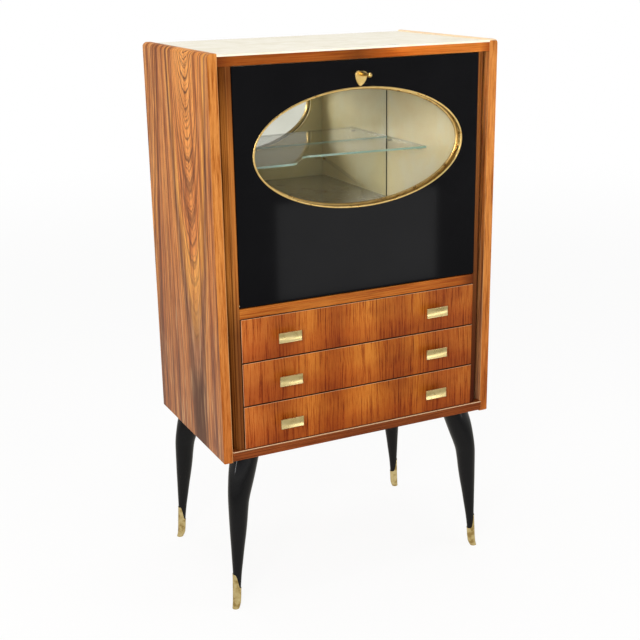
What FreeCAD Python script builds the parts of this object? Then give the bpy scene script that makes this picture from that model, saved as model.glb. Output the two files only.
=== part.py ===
import FreeCAD, Part
import math
import os
import Sketcher

# A bar cabinet on four splayed legs: a veneered case with a cream top, a glossy black
# drop-front door with an oval window over a mirrored bar, and three drawers below.
# Millimetres. X runs to the right, Y from the front to the back, Z up. The origin is on
# the floor, under the middle of the space that the whole cabinet takes up.

SIZES = {
    # case
    "cabinet_width": 780,
    "case_depth": 460,
    "side_thickness": 24,
    "side_top_round": 12,
    "side_small_round": 3,
    "board_thickness": 18,
    "bottom_thickness": 20,
    "rail_thickness": 18,
    "top_rail_height": 22.3,
    "middle_rail_height": 25,
    "bottom_rail_height": 25,
    "bottom_rail_rise": 5,
    "bottom_rail_lip": 6,
    "bottom_rail_round": 2,
    "sheet_thickness": 4.5,
    "sheet_drop": 3,
    "sheet_lip": 1.5,
    "back_thickness": 5,
    "back_inset": 2,
    # stiles and cheeks, the uprights beside the opening
    "stile_width": 32,
    "stile_flat": 12,
    "stile_bevel_depth": 24,
    "stile_depth": 40,
    "cheek_thickness": 16,
    "lining_lap": 8,
    "lining_thickness": 4,
    # bar compartment
    "bar_floor_height": 130,
    "bar_floor_thickness": 16,
    "bar_floor_setback": 30,
    "floor_glass_thickness": 4,
    "mirror_thickness": 4,
    "glass_clear": 0.3,
    "shelf_height": 173.5,
    "shelf_thickness": 5.5,
    "shelf_side_clear": 0.5,
    "shelf_deep_front": 166,
    "shelf_step_front": 257,
    "shelf_right_front": 231,
    "shelf_step_start": 98,
    "shelf_step_end": 35,
    "shelf_step_round": 35,
    "stud_radius": 3,
    "stud_length": 14,
    "stud_setback": 24,
    # drop-front door
    "opening_height": 575.2,
    "face_proud": 3,
    "door_thickness": 23,
    "door_skin": 2,
    "door_skin_inset": 2.5,
    "door_gap": 1.5,
    "door_stop_gap": 0.5,
    "pivot_inset": 6,
    "pivot_radius": 2.5,
    "pivot_length": 31,
    "pivot_seat": 11,
    "pivot_fit": 0.05,
    "bush_radius": 4,
    # oval window
    "window_side_margin": 49.5,
    "window_half_height": 141.5,
    "window_depth_below_edge": 210.1,
    "window_wall": 2,
    "window_flange": 5,
    "window_flange_thickness": 2,
    "window_fit": 0.2,
    "pane_thickness": 4,
    "pane_lap": 8,
    "skin_lap": 3,
    # shield, lock and key
    "key_drop": 33.7,
    "shield_head": 6.5,
    "shield_tail": 29,
    "shield_half_width": 16,
    "shield_thickness": 2.5,
    "shield_top_round": 8,
    "shield_tip_round": 4,
    "shield_bevel": 1,
    "shield_tilt": 7,
    "keyhole_radius": 3.5,
    "lock_half_width": 25,
    "lock_height": 44,
    "lock_depth": 12,
    "lock_fit": 0.2,
    "bolt_half_width": 10,
    "bolt_height": 18,
    "bolt_thickness": 4,
    "bolt_setback": 4,
    "bolt_travel": 8,
    "bolt_slot_fit": 1,
    "key_reach": 42,
    "key_knob_radius": 6,
    "key_stem_radius": 2.5,
    "key_collar_radius": 4,
    "key_collar_length": 3,
    "key_depth": 19,
    "key_fit": 0.1,
    # sliding stays of the door
    "stay_pivot_height": 180,
    "stay_opening_angle": 5,
    "stay_width": 10,
    "stay_thickness": 2,
    "stay_pin_radius": 2,
    "stay_hole_fit": 0.1,
    "stay_slot_fit": 0.2,
    "stay_play": 0.4,
    "stay_travel_spare": 1,
    "stud_flange_radius": 6,
    "stud_flange_thickness": 2,
    "stud_head_radius": 4.5,
    "stud_head_thickness": 1.5,
    "bracket_foot_length": 24,
    "bracket_height": 14,
    "bracket_thickness": 2,
    "bracket_reach": 6,
    # drawers
    "drawer_height": 110,
    "drawer_gap": 3.5,
    "drawer_edge_gap": 1.5,
    "drawer_front_thickness": 20,
    "drawer_back_gap": 36,
    "drawer_side_thickness": 14,
    "drawer_side_gap": 4,
    "drawer_back_thickness": 12,
    "drawer_box_lift": 8,
    "drawer_box_drop": 12,
    "drawer_bottom_thickness": 5,
    "drawer_bottom_lift": 8,
    "drawer_groove": 6,
    "drawer_groove_fit": 0.2,
    "runner_height": 12,
    "runner_groove": 8,
    "runner_fit": 0.5,
    "runner_setback": 40,
    "runner_back_gap": 13,
    # drawer pulls
    "pull_side_margin": 121.5,
    "pull_width": 62,
    "pull_height": 26,
    "pull_thickness": 3.5,
    "pull_stand_off": 22,
    "pull_dish": 1.6,
    "pull_rim": 1.2,
    "pull_neck_width": 34,
    "pull_neck_height": 7,
    "pull_neck_sink": 1,
    "pull_corner_round": 2,
    # legs and their brass shoes
    "leg_height": 420,
    "leg_lean": 61.5,
    "leg_lean_turn": 30,
    "leg_radius": 36.6,
    "front_foot_inset": 24,
    "rear_foot_inset": 29,
    "front_foot_setback": 18,
    "tenon_radius": 12,
    "tenon_length": 14,
    "shoe_wall": 1.2,
    "shoe_fit": 0.1,
    "shoe_sole": 3,
    "shoe_low": 55,
    "shoe_high": 96,
    "shoe_curl": 8,
    "shoe_tip_curl": 5,
    "shoe_tip_reach": 3,
    "shoe_edge_slope": 78,
    "shoe_tip_slope": 15,
    # screws of the back panel
    "screw_radius": 4,
    "screw_height": 1.5,
    "screw_pitch": 240,
    # overrun of every cutting tool
    "overrun": 5,
}

DRAWER_COUNT = 3

# Faces and axes that several pieces share, worked out from the sizes above. Each formula
# may use every size and the lines above it.
PLAN = {
    "half_width": "sizes.cabinet_width / 2",
    "inner_half": "half_width - sizes.side_thickness",
    "opening_half": "inner_half - sizes.stile_width",
    "lining_face": "opening_half - sizes.lining_lap",
    "cheek_face": "lining_face + sizes.lining_thickness",
    "cheek_back": "cheek_face + sizes.cheek_thickness",
    "foot_lean": "{foot_lean_share} * sizes.leg_lean",
    "sole_radius": "{foot_girth_share} * sizes.leg_radius + sizes.shoe_wall",
    "front_reach": "sizes.face_proud + sizes.key_reach + sizes.key_knob_radius",
    "rear_reach": "sizes.case_depth + foot_lean * sin(sizes.leg_lean_turn) + sole_radius",
    "front": "(front_reach - rear_reach) / 2",
    "case_back": "front + sizes.case_depth",
    "back_rear": "case_back - sizes.back_inset",
    "back_face": "back_rear - sizes.back_thickness",
    "rail_back": "front + sizes.rail_thickness",
    "bottom_top": "sizes.leg_height + sizes.bottom_thickness",
    "bottom_rail_low": "sizes.leg_height + sizes.bottom_rail_rise",
    "bottom_rail_top": "bottom_rail_low + sizes.bottom_rail_height",
    "drawer_pitch": "sizes.drawer_height + sizes.drawer_gap",
    "middle_rail_low": "bottom_rail_top + 2 * sizes.drawer_edge_gap"
                       " + {drawer_count} * drawer_pitch - sizes.drawer_gap",
    "middle_rail_top": "middle_rail_low + sizes.middle_rail_height",
    "top_rail_low": "middle_rail_top + sizes.opening_height",
    "sheet_low": "top_rail_low + sizes.top_rail_height",
    "sheet_top": "sheet_low + sizes.sheet_thickness",
    "case_top": "sheet_top + sizes.sheet_drop",
    "ceiling": "sheet_low - sizes.board_thickness",
    "bar_floor_top": "middle_rail_top + sizes.bar_floor_height",
    "bar_floor_board_top": "bar_floor_top - sizes.floor_glass_thickness",
    "mirror_face": "back_face - sizes.mirror_thickness",
    "shelf_low": "bar_floor_top + sizes.shelf_height",
    "door_half": "opening_half - sizes.door_gap",
    "door_low": "middle_rail_top + sizes.door_gap",
    "door_high": "top_rail_low - sizes.door_gap",
    "door_front": "front - sizes.face_proud",
    "door_rear": "door_front + sizes.door_thickness",
    "door_inner": "door_rear + sizes.door_skin",
    "lining_front": "door_inner + sizes.door_stop_gap",
    "pivot_y": "door_front + sizes.pivot_inset",
    "pivot_z": "door_low + sizes.pivot_inset",
    "window_half_width": "door_half - sizes.window_side_margin",
    "window_z": "door_high - sizes.window_depth_below_edge",
    "pane_front": "door_rear - sizes.pane_thickness",
    "key_z": "door_high - sizes.key_drop",
    # The sides of the shield are arcs that run smoothly into its shoulders and its tip.
    "shield_flank": "sizes.shield_head + sizes.shield_tail - sizes.shield_top_round",
    "shield_side_round": "(shield_flank ^ 2 - 2 * shield_flank * sizes.shield_tip_round"
                         " + sizes.shield_half_width ^ 2)"
                         " / (2 * (sizes.shield_half_width - sizes.shield_tip_round))",
    "shield_tip_turn": "atan((shield_side_round - sizes.shield_half_width)"
                       " / (shield_flank - sizes.shield_tip_round)) / 1 deg",
    "lock_front": "door_rear - sizes.lock_depth",
    "lock_low": "door_high - sizes.lock_height",
    "bolt_front": "lock_front + sizes.bolt_setback",
    "bolt_low": "door_high - sizes.lock_fit - sizes.bolt_height",
    # The stay's stud lies on the circle that the stay's pivot runs on about the door's
    # pivot. So the stay turns through half the door's angle, at an even rate.
    "stay_y": "door_inner + sizes.stay_width / 2 + sizes.stay_play",
    "stay_z": "pivot_z + sizes.stay_pivot_height",
    "stay_circle": "sqrt((stay_y - pivot_y) ^ 2 + sizes.stay_pivot_height ^ 2)",
    "stay_pivot_angle": "atan((stay_y - pivot_y) / sizes.stay_pivot_height) / 1 deg",
    "stay_stud_angle": "stay_pivot_angle + sizes.stay_opening_angle",
    "stay_stud_y": "pivot_y + stay_circle * sin(stay_stud_angle)",
    "stay_stud_z": "pivot_z + stay_circle * cos(stay_stud_angle)",
    "stay_slope": "(stay_pivot_angle + stay_stud_angle) / 2",
    "stay_near": "2 * stay_circle * sin(sizes.stay_opening_angle / 2)",
    "stay_far": "2 * stay_circle * sin((90 + sizes.stay_opening_angle) / 2)",
    "stay_inner": "lining_face - sizes.stud_flange_thickness - sizes.stay_play - sizes.stay_thickness",
    "drawer_rear": "door_front + sizes.drawer_front_thickness",
    "drawer_side_outer": "cheek_face - sizes.drawer_side_gap",
    "drawer_side_inner": "drawer_side_outer - sizes.drawer_side_thickness",
    "drawer_end": "back_face - sizes.drawer_back_gap",
    "pull_back": "door_front - sizes.pull_stand_off + sizes.pull_thickness",
    "pull_x": "door_half - sizes.pull_side_margin",
    # the upper edge of a shoe: level, curled up, straight, then curled over at the tip
    "tip_start": "sizes.shoe_tip_reach"
                 " - sizes.shoe_tip_curl * (sin(sizes.shoe_edge_slope) - sin(sizes.shoe_tip_slope))",
    "tip_start_z": "sizes.shoe_high"
                   " - sizes.shoe_tip_curl * (cos(sizes.shoe_tip_slope) - cos(sizes.shoe_edge_slope))",
    "curl_end_z": "sizes.shoe_low + sizes.shoe_curl * (1 - cos(sizes.shoe_edge_slope))",
    "curl_end": "tip_start - (tip_start_z - curl_end_z) / tan(sizes.shoe_edge_slope)",
    "curl_start": "curl_end - sizes.shoe_curl * sin(sizes.shoe_edge_slope)",
}

# The leg from the floor to the case: share of its height, share of its lean (outward
# positive) and share of its top radius. The knee is at three quarters of its height.
LEG_SHARES = [
    (0.000, +0.047, 0.218),
    (0.029, -0.025, 0.260),
    (0.125, -0.085, 0.280),
    (0.233, -0.150, 0.325),
    (0.319, -0.201, 0.405),
    (0.405, -0.252, 0.485),
    (0.488, -0.305, 0.573),
    (0.571, -0.353, 0.645),
    (0.714, -0.434, 0.751),
    (0.767, -0.511, 0.818),
    (0.821, -0.611, 0.887),
    (0.936, -0.842, 0.981),
    (1.000, -1.000, 1.000),
]
SHOE_ROWS = 4

# The turns from the front of the key's knob to the corners of its cones.
KNOB_ANGLES = (25, 50, 75, 105, 130)

doc = FreeCAD.newDocument("bar_cabinet")
nodes = []


def fill_sheet(name, entries):
    """Makes a sheet with one aliased cell per entry, one below the other."""
    sheet = doc.addObject("Spreadsheet::Sheet", name)
    for row, (alias, text) in enumerate(entries.items(), start=1):
        sheet.set(f"A{row}", str(text))
        sheet.setAlias(f"A{row}", alias)
    doc.recompute()
    return sheet


sizes = fill_sheet("sizes", SIZES)
given = {"foot_lean_share": LEG_SHARES[0][1], "foot_girth_share": LEG_SHARES[0][2],
         "drawer_count": DRAWER_COUNT}
plan = fill_sheet("plan", {alias: "=" + formula.format(**given) for alias, formula in PLAN.items()})


def number(formula):
    """The value of a formula at the present sizes."""
    result = sizes.evalExpression(formula)
    return getattr(result, "Value", result)


def bind(thing, **formulas):
    """Ties properties to formulas; place_x, place_y and place_z stand for the placement."""
    for name, formula in formulas.items():
        path = name.replace("place_", "Placement.Base.")
        thing.setExpression(path, formula)
    return thing


def node(thing):
    nodes.append(thing)
    return thing


def mirrored(side, near, far):
    """A stretch along X on the right (side 1), or its mirror image on the left (side -1)."""
    return (near, far) if side > 0 else (f"-({far})", f"-({near})")


# Shapes that many pieces use

def board(label, x, y, z):
    """A squared piece between two faces along each axis."""
    box = doc.addObject("Part::Box", label)
    spans = {"Length": x, "Width": y, "Height": z}
    for size_name, (start, end) in spans.items():
        box.setExpression(size_name, f"({end}) - ({start})")
    return bind(box, place_x=x[0], place_y=y[0], place_z=z[0])


TURN_TO = {
    "x": FreeCAD.Rotation(FreeCAD.Vector(0, 1, 0), 90),
    "y": FreeCAD.Rotation(FreeCAD.Vector(1, 0, 0), -90),
    "z": FreeCAD.Rotation(),
}


def rod(label, axis, radius, start, end, across):
    """A cylinder along an axis, from start to end, centred at the two values across it."""
    cylinder = doc.addObject("Part::Cylinder", label)
    cylinder.Placement = FreeCAD.Placement(FreeCAD.Vector(), TURN_TO[axis])
    places = {other: value for other, value in zip([a for a in "xyz" if a != axis], across)}
    places[axis] = start
    bind(cylinder, Radius=radius, Height=f"({end}) - ({start})")
    return bind(cylinder, **{f"place_{name}": value for name, value in places.items()})


def oval(label, growth, start, end):
    """A solid with the window's outline, grown by an amount, between two planes along Y."""
    rim = doc.addObject("Part::Ellipse", label + "_outline")
    rim.Placement = FreeCAD.Placement(FreeCAD.Vector(), TURN_TO["y"])
    bind(rim, MajorRadius=f"plan.window_half_width + {growth}",
         MinorRadius=f"sizes.window_half_height + {growth}",
         place_y=start, place_z="plan.window_z")
    plug = doc.addObject("Part::Extrusion", label)
    plug.Base = rim
    plug.DirMode = "Custom"
    plug.Dir = FreeCAD.Vector(0, 1, 0)
    plug.Solid = True
    return bind(plug, LengthFwd=f"({end}) - ({start})")


def cut(label, base, *tools):
    """The base less each tool."""
    for count, tool in enumerate(tools, start=1):
        last = count == len(tools)
        result = doc.addObject("Part::Cut", label if last else f"{label}_cut_{count}")
        result.Base = base
        result.Tool = tool
        base = result
    return base


def join(label, *things):
    result = doc.addObject("Part::MultiFuse", label)
    result.Shapes = list(things)
    return result


def group(label, things):
    result = doc.addObject("Part::Compound", label)
    result.Links = list(things)
    return result


def sketch(body, plane, *loops, title="outline"):
    """Closed outlines on a plane of the body. A corner is (x, y), or (x, y, radius, side)
    where an arc starts whose centre lies on that side of the way to the next corner."""
    result = body.newObject("Sketcher::SketchObject", f"{body.Name}_{title}")
    datum = next(f for f in body.Origin.OriginFeatures if f.Role == plane)
    result.AttachmentSupport = [(datum, "")]
    result.MapMode = "FlatFace"
    for corners in loops:
        draw_loop(result, corners)
    return result


def draw_loop(outline, corners):
    points = [FreeCAD.Vector(number(c[0]), number(c[1]), 0) for c in corners]
    edges = []
    for index, corner in enumerate(corners):
        start = points[index]
        stop = points[(index + 1) % len(points)]
        if len(corner) == 2:
            edges.append((outline.addGeometry(Part.LineSegment(start, stop)), 1, 2))
            continue
        radius = number(corner[2])
        left = FreeCAD.Vector(start.y - stop.y, stop.x - start.x, 0).normalize()
        half_chord = (stop - start).Length / 2
        turn = 1 if corner[3] == "left" else -1
        rise = turn * math.sqrt(max(radius ** 2 - half_chord ** 2, 0))
        centre = (start + stop) / 2 + left * rise
        first, last = (start, stop) if turn > 0 else (stop, start)
        angles = [math.atan2(p.y - centre.y, p.x - centre.x) for p in (first, last)]
        circle = Part.Circle(centre, FreeCAD.Vector(0, 0, 1), radius)
        arc = outline.addGeometry(Part.ArcOfCircle(circle, *angles))
        edges.append((arc, 1, 2) if turn > 0 else (arc, 2, 1))
    for index, corner in enumerate(corners):
        edge, start_point, end_point = edges[index]
        following, next_point, _ = edges[(index + 1) % len(edges)]
        outline.addConstraint(Sketcher.Constraint("Coincident", edge, end_point, following, next_point))
        for kind, formula in (("DistanceX", corner[0]), ("DistanceY", corner[1])):
            tie(outline, Sketcher.Constraint(kind, -1, 1, edge, start_point, number(formula)), formula)
        if len(corner) > 2:
            tie(outline, Sketcher.Constraint("Radius", edge, number(corner[2])), corner[2])


def round_loop(start, end, half_width):
    """A slot with round ends along the sketch's first axis, or a circle where start is end."""
    low = f"-({half_width})"
    arc = (half_width, "left")
    loop = [(f"{end}", low, *arc), (f"{end} + {half_width}", "0", *arc)]
    loop += [(f"{end}", half_width)] if start != end else []
    loop += [(f"{start}", half_width, *arc), (f"{start} - ({half_width})", "0", *arc)]
    loop += [(f"{start}", low)] if start != end else []
    return loop


def tie(outline, constraint, formula):
    row = outline.addConstraint(constraint)
    outline.setExpression(f"Constraints[{row}]", formula)


def pad(body, outline, length, both_ways=False):
    result = body.newObject("PartDesign::Pad", body.Name + "_pad")
    result.Profile = outline
    result.SideType = "Symmetric" if both_ways else "One side"
    bind(result, Length=length)
    body.Tip = result
    doc.recompute()
    return result


def round_edges(body, radius, *picks, kind="Fillet"):
    """Rounds or bevels the edges of the body whose corners lie at the given values."""
    base = body.Tip
    names = []
    for index, edge in enumerate(base.Shape.Edges, start=1):
        for pick in picks:
            if all(abs(getattr(corner, axis) - number(value)) < 1e-4
                   for axis, value in pick.items() for corner in edge.Vertexes):
                names.append(f"Edge{index}")
    result = body.newObject("PartDesign::" + kind, f"{body.Name}_{kind.lower()}")
    result.Base = (base, names)
    bind(result, **{"Radius" if kind == "Fillet" else "Size": radius})
    body.Tip = result
    doc.recompute()
    return result


def new_body(label):
    return doc.addObject("PartDesign::Body", label)


# The case

def side_panel(label, side):
    """A panel with a well rounded top outer edge and small rounds on its other long edges."""
    body = new_body(label)
    near, far = mirrored(side, "plan.inner_half", "plan.half_width")
    outer, inner = (far, near) if side > 0 else (near, far)
    low = "sizes.leg_height"
    high = "plan.case_top"
    outline = sketch(body, "XZ_Plane", [(near, low), (far, low), (far, high), (near, high)])
    pad(body, outline, "sizes.case_depth")
    bind(body, place_y="plan.case_back")
    round_edges(body, "sizes.side_top_round", {"X": outer, "Z": high})
    round_edges(body, "sizes.side_small_round", {"X": inner, "Z": high}, {"X": outer, "Z": low})
    node(body)


side_panel("left_side_panel", -1)
side_panel("right_side_panel", 1)
full_width = ("-plan.inner_half", "plan.inner_half")

node(board("top_board", full_width, ("plan.rail_back", "plan.back_face"),
           ("plan.ceiling", "plan.sheet_low")))
node(board("top_sheet", full_width, ("plan.front - sizes.sheet_lip", "plan.back_rear"),
           ("plan.sheet_low", "plan.sheet_top")))

leg_signs = {"front_left": (-1, -1), "front_right": (1, -1), "rear_left": (-1, 1), "rear_right": (1, 1)}


def foot_place(signs, lean):
    """Where the leg's centre line stands when it leans outward by an amount."""
    row = "front" if signs[1] < 0 else "rear"
    setback = "sizes.front_foot_setback" if row == "front" else "sizes.case_depth"
    x = f"{signs[0]} * (plan.half_width - sizes.{row}_foot_inset + ({lean}) * cos(sizes.leg_lean_turn))"
    y = f"plan.front + {setback} + {signs[1]} * ({lean}) * sin(sizes.leg_lean_turn)"
    return x, y


def leg_tenon(label, signs, growth):
    """The turned tenon on top of a leg, or with growth the hole that takes it."""
    return rod(label, "z", f"sizes.tenon_radius + {growth}", "sizes.leg_height",
               f"sizes.leg_height + sizes.tenon_length + {growth}",
               foot_place(signs, "-sizes.leg_lean"))


bottom_blank = board("bottom_board_blank", full_width, ("plan.rail_back", "plan.back_face"),
                     ("sizes.leg_height", "plan.bottom_top"))
tenon_holes = [leg_tenon(f"{corner}_tenon_hole", signs, "sizes.shoe_fit")
               for corner, signs in leg_signs.items()]
node(cut("bottom_board", bottom_blank, *tenon_holes))
node(board("middle_board", ("-plan.cheek_face", "plan.cheek_face"),
           ("plan.rail_back", "plan.back_face"),
           ("plan.middle_rail_top - sizes.board_thickness", "plan.middle_rail_top")))

# The top rail has a slot in its underside for the bolt of the lock.
top_rail_blank = board("top_rail_blank", full_width, ("plan.front", "plan.rail_back"),
                       ("plan.top_rail_low", "plan.sheet_low"))
bolt_slot = board("top_rail_bolt_slot",
                  ("-sizes.bolt_half_width - sizes.bolt_slot_fit", "sizes.bolt_half_width + sizes.bolt_slot_fit"),
                  ("plan.bolt_front - sizes.bolt_slot_fit",
                   "plan.bolt_front + sizes.bolt_thickness + sizes.bolt_slot_fit"),
                  ("plan.top_rail_low - sizes.overrun", "plan.top_rail_low + sizes.bolt_travel + sizes.door_gap"))
node(cut("top_rail", top_rail_blank, bolt_slot))
node(board("middle_rail", ("-plan.opening_half", "plan.opening_half"), ("plan.front", "plan.rail_back"),
           ("plan.middle_rail_low", "plan.middle_rail_top")))


def bottom_rail():
    """The rail under the drawers, whose rounded lip stands out in front of them."""
    body = new_body("bottom_rail")
    lip = "plan.front - sizes.bottom_rail_lip"
    low = "plan.bottom_rail_low"
    high = "plan.bottom_rail_top"
    outline = sketch(body, "YZ_Plane", [(lip, low), ("plan.rail_back", low), ("plan.rail_back", high), (lip, high)])
    pad(body, outline, "2 * plan.inner_half", both_ways=True)
    round_edges(body, "sizes.bottom_rail_round", {"Y": lip, "Z": high}, {"Y": lip, "Z": low})
    node(body)


bottom_rail()


def stile(label, side):
    """An upright with a flat beside the opening, a bevel that runs back to the side panel
    and a rebate that takes the cheek. A blind hole holds the door's pivot pin."""
    body = new_body(label + "_blank")
    corners = [
        ("plan.opening_half", "plan.front"),
        ("plan.opening_half + sizes.stile_flat", "plan.front"),
        ("plan.inner_half", "plan.front + sizes.stile_bevel_depth"),
        ("plan.inner_half", "plan.front + sizes.stile_depth"),
        ("plan.cheek_back", "plan.front + sizes.stile_depth"),
        ("plan.cheek_back", "plan.lining_front"),
        ("plan.opening_half", "plan.lining_front"),
    ]
    outline = sketch(body, "XY_Plane", [(f"{side} * ({x})", y) for x, y in corners])
    pad(body, outline, "plan.top_rail_low - plan.bottom_rail_top")
    bind(body, place_z="plan.bottom_rail_top")
    hole_x = mirrored(side, "plan.opening_half - sizes.overrun", "plan.opening_half + sizes.pivot_seat")
    hole = rod(label + "_pin_hole", "x", "sizes.pivot_radius + sizes.pivot_fit", *hole_x,
               ("plan.pivot_y", "plan.pivot_z"))
    node(cut(label, body, hole))


def cheek(label, side):
    """The upright board behind a stile. It carries the drawers and the bar's lining."""
    node(board(label, mirrored(side, "plan.cheek_face", "plan.cheek_back"),
               ("plan.lining_front", "plan.back_face"), ("plan.bottom_top", "plan.ceiling")))


def lining(label, side):
    node(board(label, mirrored(side, "plan.lining_face", "plan.cheek_face"),
               ("plan.lining_front", "plan.back_face"), ("plan.middle_rail_top", "plan.ceiling")))


for name, side in (("left", -1), ("right", 1)):
    stile(name + "_stile", side)
    cheek(name + "_cheek", side)
    lining(name + "_lining", side)

node(board("back_panel", full_width, ("plan.back_face", "plan.back_rear"),
           ("sizes.leg_height", "plan.sheet_low")))


def back_screws():
    """Screw heads round the edge of the back panel, into the cheeks and the boards."""
    pitch = "sizes.screw_pitch"
    mid_x = "(plan.cheek_face + plan.cheek_back) / 2"
    mid_z = "(sizes.leg_height + plan.sheet_low) / 2"
    places = [(f"{side} * ({mid_x})", f"{mid_z} + {step} * {pitch}")
              for side in (-1, 1) for step in (-1.5, -0.5, 0.5, 1.5)]
    edge_heights = ("plan.ceiling + sizes.board_thickness / 2", "plan.bottom_top - sizes.bottom_thickness / 2")
    places += [(f"{step} * {pitch}", height) for height in edge_heights for step in (-1, 0, 1)]
    heads = []
    for count, (x, z) in enumerate(places, start=1):
        heads.append(rod(f"back_screw_{count}", "y", "sizes.screw_radius", "plan.back_rear",
                         "plan.back_rear + sizes.screw_height", (x, z)))
    node(group("back_screws", heads))


back_screws()


# The bar compartment

between_linings = ("-plan.lining_face", "plan.lining_face")
node(board("bar_floor", between_linings, ("plan.front + sizes.bar_floor_setback", "plan.back_face"),
           ("plan.bar_floor_board_top - sizes.bar_floor_thickness", "plan.bar_floor_board_top")))
glass_width = ("-plan.lining_face + sizes.glass_clear", "plan.lining_face - sizes.glass_clear")
node(board("bar_floor_glass", glass_width, ("plan.front + sizes.bar_floor_setback", "plan.mirror_face"),
           ("plan.bar_floor_board_top", "plan.bar_floor_top")))
node(board("back_mirror", glass_width, ("plan.mirror_face", "plan.back_face"),
           ("plan.bar_floor_board_top", "plan.ceiling - sizes.glass_clear")))


def glass_shelf():
    """A plate with a swept step in its front edge, deeper towards the front on the left."""
    body = new_body("glass_shelf")
    left = "-plan.lining_face + sizes.shelf_side_clear"
    right = "plan.lining_face - sizes.shelf_side_clear"
    deep = "plan.front + sizes.shelf_deep_front"
    step_start = ("-sizes.shelf_step_start", deep)
    step_end = ("-sizes.shelf_step_end", "plan.front + sizes.shelf_step_front")
    rear = "plan.mirror_face - sizes.shelf_side_clear"
    outline = sketch(body, "XY_Plane", [(left, deep), step_start, step_end,
                                        (right, "plan.front + sizes.shelf_right_front"),
                                        (right, rear), (left, rear)])
    pad(body, outline, "sizes.shelf_thickness")
    bind(body, place_z="plan.shelf_low")
    round_edges(body, "sizes.shelf_step_round", {"X": step_start[0], "Y": step_start[1]},
                {"X": step_end[0], "Y": step_end[1]})
    node(body)


glass_shelf()


def shelf_studs():
    """Four round studs on the linings, which the shelf lies on."""
    front_edges = {-1: "sizes.shelf_deep_front", 1: "sizes.shelf_right_front"}
    studs = []
    for side, front_edge in front_edges.items():
        rows = {"front": f"plan.front + {front_edge} + sizes.stud_setback",
                "rear": "plan.mirror_face - sizes.stud_setback"}
        for row, y in rows.items():
            x = mirrored(side, "plan.lining_face - sizes.stud_length", "plan.lining_face")
            studs.append(rod(f"shelf_stud_{row}_{'left' if side < 0 else 'right'}", "x",
                             "sizes.stud_radius", *x, (y, "plan.shelf_low - sizes.stud_radius")))
    node(group("shelf_studs", studs))


shelf_studs()


# The drop-front door

def door_panel():
    """A panel whose lower front edge is rounded about the pivot, so that it clears the
    rail as it falls open. It is cut for the window, the lock, the keyhole and the bushes."""
    body = new_body("door_panel_blank")
    front = "plan.door_front"
    rear = "plan.door_rear"
    outline = sketch(body, "YZ_Plane", [
        (rear, "plan.door_low"), (rear, "plan.door_high"), (front, "plan.door_high"),
        (front, "plan.pivot_z", "sizes.pivot_inset", "left"),
        ("plan.pivot_y", "plan.door_low"),
    ])
    pad(body, outline, "2 * plan.door_half", both_ways=True)
    window = oval("door_window_cut", "sizes.window_wall + sizes.window_fit",
                  f"{front} - sizes.overrun", f"{rear} + sizes.overrun")
    rebate = oval("door_pane_rebate", "sizes.pane_lap", "plan.pane_front", f"{rear} + sizes.overrun")
    lock = board("door_lock_mortise", ("-sizes.lock_half_width", "sizes.lock_half_width"),
                 ("plan.lock_front", f"{rear} + sizes.overrun"),
                 ("plan.lock_low", "plan.door_high + sizes.overrun"))
    keyhole = rod("door_keyhole", "y", "sizes.keyhole_radius", f"{front} - sizes.overrun",
                  f"{rear} + sizes.overrun", ("0", "plan.key_z"))
    bushes = []
    for name, side in (("left", -1), ("right", 1)):
        x = mirrored(side, "plan.door_half - sizes.pivot_length + sizes.pivot_seat",
                     "plan.door_half + sizes.overrun")
        bushes.append(rod(f"door_bush_hole_{name}", "x", "sizes.bush_radius", *x,
                          ("plan.pivot_y", "plan.pivot_z")))
    node(cut("door_panel", body, window, rebate, lock, keyhole, *bushes))


def door_lining():
    """The thin inner skin. Its oval is smaller than the pane, so it keeps the pane in."""
    inset = "sizes.door_skin_inset"
    skin = board("door_lining_blank", (f"-plan.door_half + {inset}", f"plan.door_half - {inset}"),
                 ("plan.door_rear", "plan.door_inner"), ("plan.pivot_z", f"plan.door_high - {inset}"))
    window = oval("door_lining_window", "sizes.skin_lap", "plan.door_rear - sizes.overrun",
                  "plan.door_inner + sizes.overrun")
    node(cut("door_lining", skin, window))


def window_trim():
    """The brass ring: a narrow flange on the door's face and a wall through its thickness."""
    flange = oval("window_ring_flange", "sizes.window_flange",
                  "plan.door_front - sizes.window_flange_thickness", "plan.door_front")
    wall = oval("window_ring_wall", "sizes.window_wall", "plan.door_front",
                "plan.pane_front - sizes.window_fit")
    bore = oval("window_ring_bore", "0", "plan.door_front - sizes.overrun", "plan.door_rear")
    node(cut("window_ring", join("window_ring_blank", flange, wall), bore))
    node(oval("window_glass", "sizes.pane_lap - sizes.window_fit", "plan.pane_front", "plan.door_rear"))


def hinge_parts():
    """Steel pins in the stiles run in brass bushes in the door's lower corners."""
    pins = []
    bushes = []
    inner_end = "plan.door_half - sizes.pivot_length + sizes.pivot_seat"
    for name, side in (("left", -1), ("right", 1)):
        pin_x = mirrored(side, f"{inner_end} + sizes.door_gap", "plan.opening_half + sizes.pivot_seat")
        bush_x = mirrored(side, inner_end, "plan.door_half")
        axis = ("plan.pivot_y", "plan.pivot_z")
        pins.append(rod(f"hinge_pin_{name}", "x", "sizes.pivot_radius", *pin_x, axis))
        shell = rod(f"hinge_bush_{name}_shell", "x", "sizes.bush_radius", *bush_x, axis)
        bore = rod(f"hinge_bush_{name}_bore", "x", "sizes.pivot_radius + sizes.pivot_fit",
                   bush_x[0], bush_x[1], axis)
        bushes.append(cut(f"hinge_bush_{name}", shell, bore))
    node(group("hinge_pins", pins))
    node(group("hinge_bushes", bushes))


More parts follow.
